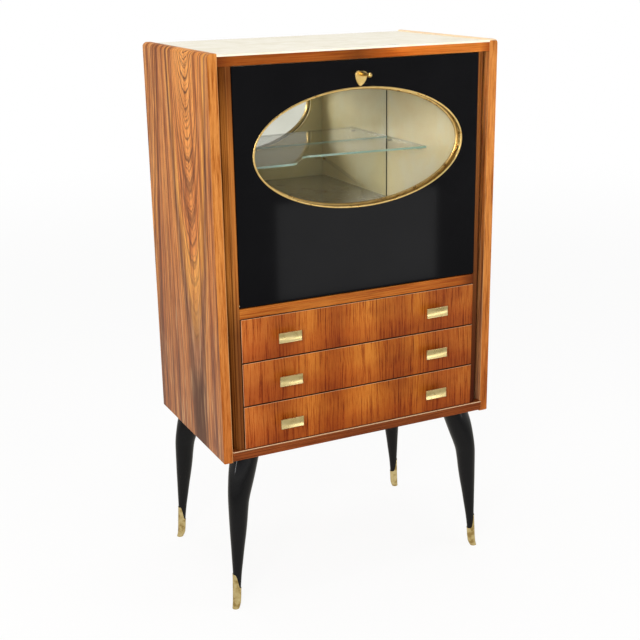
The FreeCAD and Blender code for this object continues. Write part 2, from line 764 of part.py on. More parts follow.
def escutcheon():
    """A shield, broad at the top and pointed below, with a bevelled rim and a keyhole. It
    hangs a little askew about the key."""
    body = new_body("escutcheon_blank")
    top = "sizes.shield_head"
    tip = "-sizes.shield_tail"
    width = "sizes.shield_half_width"
    shoulder = "sizes.shield_top_round"
    tip_round = "sizes.shield_tip_round"
    tip_half = f"sin(plan.shield_tip_turn) * {tip_round}"
    tip_top = f"{tip} + (1 - cos(plan.shield_tip_turn)) * {tip_round}"
    outline = sketch(body, "XZ_Plane", [
        (width, f"{top} - {shoulder}", shoulder, "left"), (f"{width} - {shoulder}", top),
        (f"-{width} + {shoulder}", top, shoulder, "left"),
        (f"-{width}", f"{top} - {shoulder}", "plan.shield_side_round", "left"),
        (f"-{tip_half}", tip_top, tip_round, "left"), (tip_half, tip_top, "plan.shield_side_round", "left"),
    ])
    pad(body, outline, "sizes.shield_thickness")
    body.Placement.Rotation = FreeCAD.Rotation(FreeCAD.Vector(0, 1, 0), 1)
    bind(body, place_y="plan.door_front", place_z="plan.key_z")
    body.setExpression("Placement.Rotation.Angle", "sizes.shield_tilt * 1 deg")
    round_edges(body, "sizes.shield_bevel", {"Y": "-sizes.shield_thickness"}, kind="Chamfer")
    hole = rod("escutcheon_keyhole", "y", "sizes.keyhole_radius", "plan.door_front - sizes.overrun",
               "plan.door_front + sizes.overrun", ("0", "plan.key_z"))
    node(cut("escutcheon", body, hole))


def lock():
    """The lock case with its bolt. The key drives the bolt up into the top rail."""
    fit = "sizes.lock_fit"
    case = board("lock_case_blank", (f"-sizes.lock_half_width + {fit}", f"sizes.lock_half_width - {fit}"),
                 (f"plan.lock_front + {fit}", "plan.door_rear"), (f"plan.lock_low + {fit}", f"plan.door_high - {fit}"))
    slot = board("lock_case_slot", (f"-sizes.bolt_half_width - {fit}", f"sizes.bolt_half_width + {fit}"),
                 (f"plan.bolt_front - {fit}", f"plan.bolt_front + sizes.bolt_thickness + {fit}"),
                 ("plan.bolt_low", "plan.door_high + sizes.overrun"))
    bore = rod("lock_case_key_bore", "y", "sizes.key_stem_radius + sizes.key_fit",
               "plan.lock_front - sizes.overrun", f"plan.door_front + sizes.key_depth + {fit}",
               ("0", "plan.key_z"))
    node(cut("lock_case", case, slot, bore))
    node(board("lock_bolt", ("-sizes.bolt_half_width", "sizes.bolt_half_width"),
               ("plan.bolt_front", "plan.bolt_front + sizes.bolt_thickness"),
               ("plan.bolt_low", f"plan.door_high - {fit}")))


def key():
    """A turned key: stem, collar in front of the shield and a knob whose ball is a row of
    narrow cones."""
    body = new_body("key")
    stem = "sizes.key_stem_radius"
    collar = "sizes.key_collar_radius"
    knob = "sizes.key_knob_radius"
    ball = [(f"{knob} * sin({angle})", f"-sizes.key_reach - {knob} * cos({angle})")
            for angle in KNOB_ANGLES]
    collar_back = "-sizes.shield_thickness - sizes.key_fit"
    collar_front = f"{collar_back} - sizes.key_collar_length"
    outline = sketch(body, "XY_Plane", [
        ("0", "sizes.key_depth"), ("0", f"-sizes.key_reach - {knob}"), *ball,
        (stem, f"-sizes.key_reach + {knob}"), (stem, collar_front), (collar, collar_front),
        (collar, collar_back), (stem, collar_back), (stem, "sizes.key_depth"),
    ])
    turned = body.newObject("PartDesign::Revolution", "key_turned")
    turned.Profile = outline
    turned.ReferenceAxis = (outline, ["V_Axis"])
    turned.Angle = 360
    body.Tip = turned
    bind(body, place_y="plan.door_front", place_z="plan.key_z")
    node(body)


door_panel()
door_lining()
window_trim()
hinge_parts()
escutcheon()
lock()
key()


# The stays that hold the open door

def stay(label, side):
    """A brass arm pivoted on the door. Its slot slides over a stud on the side lining."""
    body = new_body(label)
    half = "sizes.stay_width / 2"
    slot_half = "sizes.stay_pin_radius + sizes.stay_slot_fit"
    slot_start = "plan.stay_near - sizes.stay_travel_spare"
    slot_end = "plan.stay_far + sizes.stay_travel_spare"
    outline = sketch(body, "YZ_Plane", round_loop("0", slot_end, half),
                     round_loop(slot_start, slot_end, slot_half),
                     round_loop("0", "0", "sizes.stay_pin_radius + sizes.stay_hole_fit"))
    pad(body, outline, "sizes.stay_thickness")
    body.Placement = FreeCAD.Placement(FreeCAD.Vector(), FreeCAD.Rotation(FreeCAD.Vector(-1, 0, 0), 1))
    body.setExpression("Placement.Rotation.Angle", "plan.stay_slope")
    x = mirrored(side, "plan.stay_inner", "plan.stay_inner + sizes.stay_thickness")
    bind(body, place_x=x[0], place_y="plan.stay_y", place_z="plan.stay_z")
    node(body)


def stay_stud(label, side):
    """The stud that the slot runs on: a flange on the lining, a shank and a head."""
    axis = ("plan.stay_stud_y", "plan.stay_stud_z")
    head = "plan.stay_inner - sizes.stay_play"
    flange = "plan.lining_face - sizes.stud_flange_thickness"
    spans = {
        "flange": ("sizes.stud_flange_radius", flange, "plan.lining_face"),
        "shank": ("sizes.stay_pin_radius", head, flange),
        "head": ("sizes.stud_head_radius", f"{head} - sizes.stud_head_thickness", head),
    }
    return join(label, *(rod(f"{label}_{name}", "x", radius, *mirrored(side, near, far), axis)
                         for name, (radius, near, far) in spans.items()))


def stay_bracket(label, side):
    """The angle on the door's inner face with the stay's pivot pin."""
    axis = ("plan.stay_y", "plan.stay_z")
    ear_outer = "plan.stay_inner - sizes.stay_play"
    ear_inner = f"{ear_outer} - sizes.bracket_thickness"
    pin_end = "plan.stay_inner + sizes.stay_thickness + sizes.stay_play"
    height = ("plan.stay_z - sizes.bracket_height / 2", "plan.stay_z + sizes.bracket_height / 2")
    foot = board(label + "_foot", mirrored(side, f"{ear_outer} - sizes.bracket_foot_length", ear_outer),
                 ("plan.door_inner", "plan.door_inner + sizes.bracket_thickness"), height)
    ear = board(label + "_ear", mirrored(side, ear_inner, ear_outer),
                ("plan.door_inner", "plan.stay_y + sizes.bracket_reach"), height)
    pin = rod(label + "_pin", "x", "sizes.stay_pin_radius", *mirrored(side, ear_outer, pin_end), axis)
    head = rod(label + "_head", "x", "sizes.stud_head_radius",
               *mirrored(side, pin_end, f"{pin_end} + sizes.stud_head_thickness"), axis)
    return join(label, foot, ear, pin, head)


sides = {"left": -1, "right": 1}
for name, side in sides.items():
    stay(name + "_stay", side)
node(group("stay_studs", [stay_stud(f"stay_stud_{name}", side) for name, side in sides.items()]))
node(group("stay_brackets", [stay_bracket(f"stay_bracket_{name}", side) for name, side in sides.items()]))


# The drawers

def drawer_levels(count_from_top):
    """The heights of one drawer: its front, its box, its bottom board and its runners."""
    below = DRAWER_COUNT - count_from_top
    low = f"plan.bottom_rail_top + sizes.drawer_edge_gap + {below} * plan.drawer_pitch"
    high = f"{low} + sizes.drawer_height"
    box_low = f"{low} + sizes.drawer_box_lift"
    box_high = f"{high} - sizes.drawer_box_drop"
    floor_low = f"{box_low} + sizes.drawer_bottom_lift"
    middle = f"({box_low} + {box_high}) / 2"
    return {
        "front": (low, high),
        "box": (box_low, box_high),
        "floor": (floor_low, f"{floor_low} + sizes.drawer_bottom_thickness"),
        "slot": (f"{floor_low} - sizes.drawer_groove_fit",
                 f"{floor_low} + sizes.drawer_bottom_thickness + sizes.drawer_groove_fit"),
        "runner": (f"{middle} - sizes.runner_height / 2", f"{middle} + sizes.runner_height / 2"),
        "groove": (f"{middle} - sizes.runner_height / 2 - sizes.runner_fit",
                   f"{middle} + sizes.runner_height / 2 + sizes.runner_fit"),
    }


def drawer_front(label, levels):
    """A veneered front with a groove for the bottom board in its inner face."""
    blank = board(label + "_blank", ("-plan.door_half", "plan.door_half"),
                  ("plan.door_front", "plan.drawer_rear"), levels["front"])
    slot_end = "plan.drawer_side_inner + sizes.drawer_groove"
    slot = board(label + "_slot", (f"-({slot_end})", slot_end),
                 ("plan.drawer_rear - sizes.drawer_groove", "plan.drawer_rear + sizes.overrun"), levels["slot"])
    node(cut(label, blank, slot))


def drawer_side(label, levels, side):
    """A side with a groove outside for the runner and one inside for the bottom board."""
    body = new_body(label)
    outer = "plan.drawer_side_outer"
    inner = "plan.drawer_side_inner"
    runner_bed = f"{outer} - sizes.runner_groove"
    floor_bed = f"{inner} + sizes.drawer_groove"
    corners = [
        (inner, levels["box"][0]), (outer, levels["box"][0]),
        (outer, levels["groove"][0]), (runner_bed, levels["groove"][0]),
        (runner_bed, levels["groove"][1]), (outer, levels["groove"][1]),
        (outer, levels["box"][1]), (inner, levels["box"][1]),
        (inner, levels["slot"][1]), (floor_bed, levels["slot"][1]),
        (floor_bed, levels["slot"][0]), (inner, levels["slot"][0]),
    ]
    outline = sketch(body, "XZ_Plane", [(f"{side} * ({x})", z) for x, z in corners])
    pad(body, outline, "plan.drawer_end - plan.drawer_rear")
    bind(body, place_y="plan.drawer_end")
    return body


def drawer_pull(label, levels, side):
    """A brass plate with a shallow dish across its face, on a narrower neck."""
    body = new_body(label)
    half = "sizes.pull_height / 2"
    rim = f"{half} - sizes.pull_rim"
    face = "plan.door_front - sizes.pull_stand_off"
    dish = f"((({rim}) ^ 2 + sizes.pull_dish ^ 2) / (2 * sizes.pull_dish))"
    plate = sketch(body, "YZ_Plane", [
        ("plan.pull_back", f"-({half})"), ("plan.pull_back", half), (face, half),
        (face, rim, dish, "right"), (face, f"-({rim})"), (face, f"-({half})"),
    ])
    pad(body, plate, "sizes.pull_width", both_ways=True)
    corner = "sizes.pull_width / 2"
    picks = [{"X": f"{x} * {corner}", "Z": f"{z} * {half}"} for x in (-1, 1) for z in (-1, 1)]
    round_edges(body, "sizes.pull_corner_round", *picks)
    neck_half = "sizes.pull_neck_height / 2"
    neck = sketch(body, "YZ_Plane", [
        ("plan.pull_back - sizes.pull_neck_sink", f"-({neck_half})"), ("plan.door_front", f"-({neck_half})"),
        ("plan.door_front", neck_half), ("plan.pull_back - sizes.pull_neck_sink", neck_half),
    ], title="neck")
    pad(body, neck, "sizes.pull_neck_width", both_ways=True)
    low, high = levels["front"]
    bind(body, place_x=f"{side} * plan.pull_x", place_z=f"({low} + {high}) / 2")
    return body


def runner(label, levels, side):
    tip = "plan.drawer_side_outer - sizes.runner_groove + sizes.runner_fit"
    return board(label, mirrored(side, tip, "plan.cheek_face"),
                 ("plan.front + sizes.runner_setback", "plan.back_face - sizes.runner_back_gap"),
                 levels["runner"])


runners = []
for count_from_top in range(1, DRAWER_COUNT + 1):
    name = f"drawer_{count_from_top}"
    levels = drawer_levels(count_from_top)
    drawer_front(name + "_front", levels)
    node(group(name + "_sides", [drawer_side(f"{name}_side_{hand}", levels, side)
                                 for hand, side in sides.items()]))
    node(board(name + "_back", ("-plan.drawer_side_inner", "plan.drawer_side_inner"),
               ("plan.drawer_end - sizes.drawer_back_thickness", "plan.drawer_end"),
               (levels["slot"][1], levels["box"][1])))
    floor_end = "plan.drawer_side_inner + sizes.drawer_groove - sizes.drawer_groove_fit"
    node(board(name + "_bottom", (f"-({floor_end})", floor_end),
               ("plan.drawer_rear - sizes.drawer_groove + sizes.drawer_groove_fit", "plan.drawer_end"),
               levels["floor"]))
    node(group(name + "_pulls", [drawer_pull(f"{name}_pull_{hand}", levels, side)
                                 for hand, side in sides.items()]))
    runners += [runner(f"{name}_runner_{hand}", levels, side) for hand, side in sides.items()]
node(group("drawer_runners", runners))


# The legs and their shoes

def round_loft(label, signs, rows, growth):
    """A solid through level circles on a leg's centre line, grown by an amount."""
    rings = []
    for count, (height_share, lean_share, girth_share) in enumerate(rows, start=1):
        ring = doc.addObject("Part::Circle", f"{label}_ring_{count}")
        x, y = foot_place(signs, f"{lean_share} * sizes.leg_lean")
        bind(ring, Radius=f"{girth_share} * sizes.leg_radius + {growth}",
             place_x=x, place_y=y, place_z=f"{height_share} * sizes.leg_height")
        rings.append(ring)
    loft = doc.addObject("Part::Loft", label)
    loft.Sections = rings
    loft.Solid = True
    loft.Ruled = True
    return loft


def sole_block(label, signs):
    return rod(label, "z", "sizes.leg_radius", "-sizes.overrun", "sizes.shoe_sole", foot_place(signs, "0"))


def leg(corner, signs):
    """A sabre leg that leans out, more to the side than along the depth, with a tenon in
    the bottom board."""
    name = corner + "_leg"
    shaft = cut(name + "_shaft", round_loft(name + "_loft", signs, LEG_SHARES, "0"),
                sole_block(name + "_below", signs))
    return join(name, shaft, leg_tenon(name + "_tenon", signs, "0"))


def shoe(corner, signs):
    """A brass shoe round the foot. Its edge sweeps from low on the inside up to a tongue
    that faces sideways, away from the cabinet."""
    name = corner + "_shoe"
    rows = LEG_SHARES[:SHOE_ROWS]
    outer = round_loft(name + "_outside", signs, rows, "sizes.shoe_wall")
    hollow = cut(name + "_hollow", round_loft(name + "_foot", signs, rows, "sizes.shoe_fit"),
                 sole_block(name + "_below", signs))
    mouth = new_body(name + "_mouth")
    far = "sizes.leg_radius"
    high = "sizes.leg_height / 2"
    outline = sketch(mouth, "XZ_Plane", [
        (f"-({far})", "sizes.shoe_low"), ("plan.curl_start", "sizes.shoe_low", "sizes.shoe_curl", "left"),
        ("plan.curl_end", "plan.curl_end_z"), ("plan.tip_start", "plan.tip_start_z", "sizes.shoe_tip_curl", "right"),
        ("sizes.shoe_tip_reach", "sizes.shoe_high"), (far, "sizes.shoe_high"), (far, high), (f"-({far})", high),
    ])
    pad(mouth, outline, "2 * sizes.leg_radius", both_ways=True)
    mouth.Placement.Rotation = FreeCAD.Rotation(FreeCAD.Vector(0, 0, 1), 0 if signs[0] > 0 else 180)
    x, y = foot_place(signs, "0")
    bind(mouth, place_x=x, place_y=y)
    return cut(name, outer, hollow, mouth)


node(group("legs", [leg(corner, signs) for corner, signs in leg_signs.items()]))
node(group("leg_shoes", [shoe(corner, signs) for corner, signs in leg_signs.items()]))


def check_and_export():
    """Stops on any object that failed, then writes one file per piece."""
    doc.recompute()
    for thing in doc.Objects:
        if "Invalid" in thing.State or "Error" in thing.State:
            raise RuntimeError(f"{thing.Label} failed: {thing.State}")
    os.makedirs("parts", exist_ok=True)
    for thing in nodes:
        shape = thing.Shape
        if shape.isNull() or not shape.isValid() or not shape.Solids:
            raise RuntimeError(f"{thing.Label} has no valid solid")
        shape.exportStep(f"parts/{thing.Label}.step")
    print(len(nodes), "pieces written")


check_and_export()
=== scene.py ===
import math
from functools import partial

import bmesh
import bpy
import numpy as np
from mathutils import Matrix, Vector


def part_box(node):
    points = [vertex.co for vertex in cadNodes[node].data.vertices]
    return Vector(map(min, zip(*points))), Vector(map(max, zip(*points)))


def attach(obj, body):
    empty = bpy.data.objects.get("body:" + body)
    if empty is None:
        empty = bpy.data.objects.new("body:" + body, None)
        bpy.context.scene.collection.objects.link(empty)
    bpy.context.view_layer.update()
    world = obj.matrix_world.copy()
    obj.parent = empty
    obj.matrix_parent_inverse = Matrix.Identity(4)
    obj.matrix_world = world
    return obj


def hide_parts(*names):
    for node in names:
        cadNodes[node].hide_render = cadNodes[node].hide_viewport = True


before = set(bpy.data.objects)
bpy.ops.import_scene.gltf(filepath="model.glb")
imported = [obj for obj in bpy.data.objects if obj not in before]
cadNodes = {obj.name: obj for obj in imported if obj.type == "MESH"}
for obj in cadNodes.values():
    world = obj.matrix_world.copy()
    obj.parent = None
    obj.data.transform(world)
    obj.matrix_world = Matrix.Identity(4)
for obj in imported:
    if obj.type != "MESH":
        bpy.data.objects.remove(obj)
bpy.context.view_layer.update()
mm = 0.001
print("frame loaded:", len(cadNodes), "nodes")

mixing = {"data_type": "RGBA"}
multiplying = {"data_type": "RGBA", "blend_type": "MULTIPLY"}


# small helpers
def linearColour(hexText):
    # sRGB hex to linear: c / 12.92 below 0.04045, else ((c + 0.055) / 1.055) ^ 2.4
    values = [int(hexText[i:i + 2], 16) / 255 for i in (0, 2, 4)]
    return [v / 12.92 if v < 0.04045 else ((v + 0.055) / 1.055) ** 2.4 for v in values] + [1]


def feed(node, inputs):
    # an input is a plain value, a hex colour, the socket that feeds it, or a node, through its first live
    # output
    for key, value in inputs.items():
        if isinstance(value, bpy.types.Node):
            value = next(socket for socket in value.outputs if socket.enabled)
        if isinstance(value, bpy.types.NodeSocket):
            node.id_data.links.new(value, node.inputs[key])
        else:
            node.inputs[key].default_value = linearColour(value) if isinstance(value, str) else value


def addNode(tree, kind, inputs=None, stops=None, **settings):
    node = tree.nodes.new("ShaderNode" + kind)
    for key, value in settings.items():
        setattr(node, key, value)
    feed(node, inputs or {})
    if stops:
        elements = node.color_ramp.elements
        while len(elements) < len(stops):
            elements.new(0.5)
        for element, (place, colour) in zip(elements, stops):
            element.position = place
            element.color = linearColour(colour)
    return node


def startMaterial(name, **shaderValues):
    # a material with its shader's plain values set: it, addNode for its tree, its shader and the object's own
    # coordinates
    material = bpy.data.materials.new(name)
    material.use_nodes = True
    shader = material.node_tree.nodes["Principled BSDF"]
    feed(shader, {key.replace("_", " "): value for key, value in shaderValues.items()})
    add = partial(addNode, material.node_tree)
    return material, add, shader, add("TexCoord").outputs["Object"]


def dress(material, *names):
    for name in names:
        for slot in cadNodes[name].material_slots:
            slot.material = material


# camera, floor and light
cameraView = {"place": (-1.3310, -2.7001, 1.6302), "yaw": -25.96, "pitch": 17.51, "roll": -0.91,
              "lens": 65.35}


def addCamera(view):
    yaw, pitch, roll = (math.radians(view[key]) for key in ("yaw", "pitch", "roll"))
    ahead = Vector((-math.sin(yaw) * math.cos(pitch), math.cos(yaw) * math.cos(pitch), -math.sin(pitch)))
    level = Vector((math.cos(yaw), math.sin(yaw), 0))
    above = level.cross(ahead)
    right = math.cos(roll) * level + math.sin(roll) * above
    up = -math.sin(roll) * level + math.cos(roll) * above
    data = bpy.data.cameras.new("camera")
    data.lens = view["lens"]
    data.sensor_width = 36
    camera = bpy.data.objects.new("camera", data)
    bpy.context.scene.collection.objects.link(camera)
    turned = Matrix((right, up, -ahead)).transposed().to_4x4()
    camera.matrix_world = Matrix.Translation(view["place"]) @ turned
    bpy.context.scene.camera = camera


studio = {
    "ambient": 0.52,
    # what metal and gloss see, from the horizon up: a dim room in front and a pale wall behind
    "room": [(0.0, "e6e6e6"), (0.12, "d4d4d4"), (0.22, "8c8c8c"), (0.30, "585858"), (0.45, "6a6a6a"),
             (1.0, "4c4c4c")],
    "wall": [(0.0, "eeeeee"), (0.12, "e2e2e2"), (0.40, "9c9c9c"), (1.0, "4c4c4c")],
    # and on the floor, from the middle of the cabinet outwards
    "mirroredFloor": [(0.0, "d2cfc6"), (0.18, "cbc8c0"), (0.30, "aeaca6"), (0.62, "dcdbd6"), (1.0, "f0efea")],
    "mirroredReach": 5.0,      # metres
    "paleFloor": "f4f3f0",
    "shadowShare": 0.11,       # how much of the shadow under the cabinet the camera sees
    "shadowFade": (2.0, 7.0),  # metres out between which it fades into the white backdrop
    "floorHalf": 30,           # metres
    "softboxes": {
        # watts, and for a lamp with a grid its spread in degrees
        "key": {"place": (-2.6, -3.4, 2.3), "faces": (0.0, 0.0, 1.0), "size": (1.6, 1.6), "watts": 116},
        "right": {"place": (2.9, -2.6, 2.4), "faces": (0.1, 0.0, 0.9), "size": (1.2, 2.0), "watts": 16},
        "top": {"place": (0.0, 0.2, 4.0), "faces": (0.0, 0.0, 1.0), "size": (2.4, 2.4), "watts": 48},
        # a low card that the door mirrors, and a tall strip that the legs and shoes mirror
        "card": {"place": (1.21, -2.5, 0.31), "faces": (1.21, 0.0, 0.31), "size": (0.86, 0.46), "watts": 4},
        "strip": {"place": (-3.0, -0.35, 0.85), "faces": (-0.36, -0.19, 0.35), "size": (0.14, 1.0),
                  "watts": 5.5},
        # looks in through the window at the right lining
        "window": {"place": (-1.6, -3.2, 1.62), "faces": (0.33, -0.06, 1.2), "size": (0.3, 0.3),
                   "watts": 0.13, "spread": 9},
    },
}


def addWorld(look):
    world = bpy.data.worlds.new("studio")
    world.use_nodes = True
    bpy.context.scene.world = world
    world.node_tree.nodes.clear()
    add = partial(addNode, world.node_tree)
    path = add("LightPath").outputs
    seen = add("Math", {0: path["Is Camera Ray"], 1: path["Is Transmission Ray"]}, operation="MAXIMUM")
    towards = add("SeparateXYZ", {0: add("TexCoord").outputs["Generated"]}).outputs
    room = add("ValToRGB", {0: towards["Z"]}, stops=look["room"])
    wall = add("ValToRGB", {0: towards["Z"]}, stops=look["wall"])
    behind = add("MapRange", {"Value": towards["Y"], "From Min": -0.2, "From Max": 0.3})
    mirrored = add("Background", {"Color": add("Mix", {0: behind, 6: room, 7: wall}, **mixing),
                                  "Strength": 1.0})
    soft = add("Background", {"Color": "ffffff", "Strength": look["ambient"]})
    white = add("Background", {"Color": "ffffff", "Strength": 1.0})
    light = add("MixShader", {0: path["Is Glossy Ray"], 1: soft, 2: mirrored})
    add("OutputWorld", {"Surface": add("MixShader", {0: seen, 1: light, 2: white})})


def addFloor(look):
    # pale, with only a soft share of the shadow left under the cabinet
    material, add, shader, coords = startMaterial("paleStudioFloor", Base_Color=look["paleFloor"],
                                                  Roughness=0.9, Specular_IOR_Level=0.0)
    path = add("LightPath").outputs
    seen = add("Math", {0: path["Is Camera Ray"], 1: path["Is Transmission Ray"]}, operation="MAXIMUM")
    away = add("VectorMath", {0: coords}, operation="LENGTH")
    near, far = look["shadowFade"]
    white = add("MapRange", {"Value": away, "From Min": near, "From Max": far,
                             "To Min": 1 - look["shadowShare"], "To Max": 1.0},
                interpolation_type="SMOOTHSTEP")
    share = add("Math", {0: seen, 1: white}, operation="MULTIPLY")
    glow = add("Emission", {"Color": "ffffff", "Strength": 1.0})
    plain = add("MixShader", {0: share, 1: shader, 2: glow})
    outward = add("Math", {0: away, 1: look["mirroredReach"]}, operation="DIVIDE")
    dim = add("Emission", {"Color": add("ValToRGB", {0: outward}, stops=look["mirroredFloor"]),
                           "Strength": 1.0})
    surface = add("MixShader", {0: path["Is Glossy Ray"], 1: plain, 2: dim})
    feed(material.node_tree.nodes["Material Output"], {"Surface": surface})
    half = look["floorHalf"]
    mesh = bpy.data.meshes.new("floor")
    mesh.from_pydata([(-half, -half, 0), (half, -half, 0), (half, half, 0), (-half, half, 0)], [],
                     [(0, 1, 2, 3)])
    mesh.materials.append(material)
    floor = bpy.data.objects.new("floor", mesh)
    bpy.context.scene.collection.objects.link(floor)


def addSoftboxes(look):
    for name, box in look["softboxes"].items():
        data = bpy.data.lights.new(name + "Softbox", "AREA")
        data.shape = "RECTANGLE"
        data.size, data.size_y = box["size"]
        data.energy = box["watts"]
        data.spread = math.radians(box.get("spread", 180))
        lamp = bpy.data.objects.new(name + "Softbox", data)
        bpy.context.scene.collection.objects.link(lamp)
        lamp.location = box["place"]
        direction = Vector(box["faces"]) - Vector(box["place"])
        lamp.rotation_euler = direction.to_track_quat("-Z", "Y").to_euler()
        lamp.visible_camera = False


bpy.context.scene.view_settings.view_transform = "Standard"
addCamera(cameraView)
addWorld(studio)
addFloor(studio)
addSoftboxes(studio)
print("camera, floor and lights ready")

# side veneer; a noise scale is features per metre along x, y and z: 420 is a streak 2.4 mm wide
sideLook = {
    "heartY": -0.054,        # middle line of the figure, metres
    "panelTop": 1.42,
    "panelFront": -0.2098,
    "lippingInner": 0.3674,  # from the middle, where the pale inner arris of the lipping starts
    "wander": 0.022,         # slow wander of the lines: about 8 mm over 150 mm
    "zigzag": 0.022,         # the arches turn in zigzags of about 8 mm
    "arch": 0.037,           # how wide the arches open: width squared over height
    "steepening": 25.0,      # and how much steeper their arms get with the width squared
    "firstArch": -0.08,      # metres down the panel to the tip of the first arch
    "lastArch": 0.72,        # and to where the arches stop
    "archFade": 0.25,        # metres over which they do
    "flameEdge": 0.0302,     # the ring that parts the flame from the fan behind it
    "fanRings": 0.11,        # how far the root of the ring runs on behind the flame, up to the back line
    "fanSpan": 1.1,          # and how far the ring measure does
    "backLine": (0.199, 0.115),  # the dark line far behind: its place at the top and its lean
    "wobble": 0.05,          # unevenness of the rings, in the ring measure
    "measureEnds": (-5.2, -1.2),  # the ring measure (the ring's natural logarithm) over the next ramp
    "rings": [
        (0.000, "ffb662"), (0.120, "fcb05e"), (0.220, "f8aa5a"), (0.300, "f2a258"), (0.330, "f0a056"),
        (0.348, "fcb45e"), (0.372, "ffc068"), (0.3795, "dc9850"), (0.387, "ffbc62"), (0.401, "fab45e"),
        (0.408, "d29a6c"), (0.413, "c48a60"), (0.4155, "aa744c"), (0.419, "9c6a44"), (0.4225, "8a5634"),
        (0.428, "b0764a"), (0.436, "dca060"), (0.446, "e6a45c"), (0.490, "f0a45c"), (0.530, "e09654"),
        (0.580, "eca45c"), (0.640, "e49a56"), (0.676, "cc8046"), (0.692, "9a5e34"), (0.703, "b47442"),
        (0.722, "f0a858"), (0.780, "f8b064"), (0.830, "e09a56"), (0.900, "eca45c"), (1.000, "f0a85e"),
    ],
    "sapwood": [(0.335, "000000"), (0.360, "ffffff"), (0.400, "ffffff"), (0.411, "000000")],
    # what the dark lines follow, their step in it, their half width in steps and their depth of tone; in the
    # root of the ring 0.0062 is about 36 mm down the middle and 10 mm on the arms
    "ringLines": [("measure", 0.20, 0.19, 0.62), ("root", 0.00624, 0.16, 0.66), ("root", 0.0026, 0.2, 0.34)],
    "lineShift": 2.2,        # how far they stray, in steps
    "lineTone": "70401f",
    # metres down the panel over which it turns duller, and down and aside over which the knot's shadow lies
    "dullDrop": {"From Min": 0.4, "From Max": 1.0},
    "knotDrop": {"From Min": 0.775, "From Max": 0.86},
    "knotAside": {"From Min": 0.028, "From Max": 0.048},
    "bands": [(0.36, "946848"), (0.46, "dcc2a8"), (0.54, "fbf4ee"), (0.66, "fff6e6")],
    "pores": [(0.34, "84583c"), (0.46, "e4d0bc"), (0.58, "ffffff")],
    "lipping": [(0.30, "6c360e"), (0.42, "a05a24"), (0.50, "bc7434"), (0.60, "ce8844"), (0.72, "9c5824")],
}


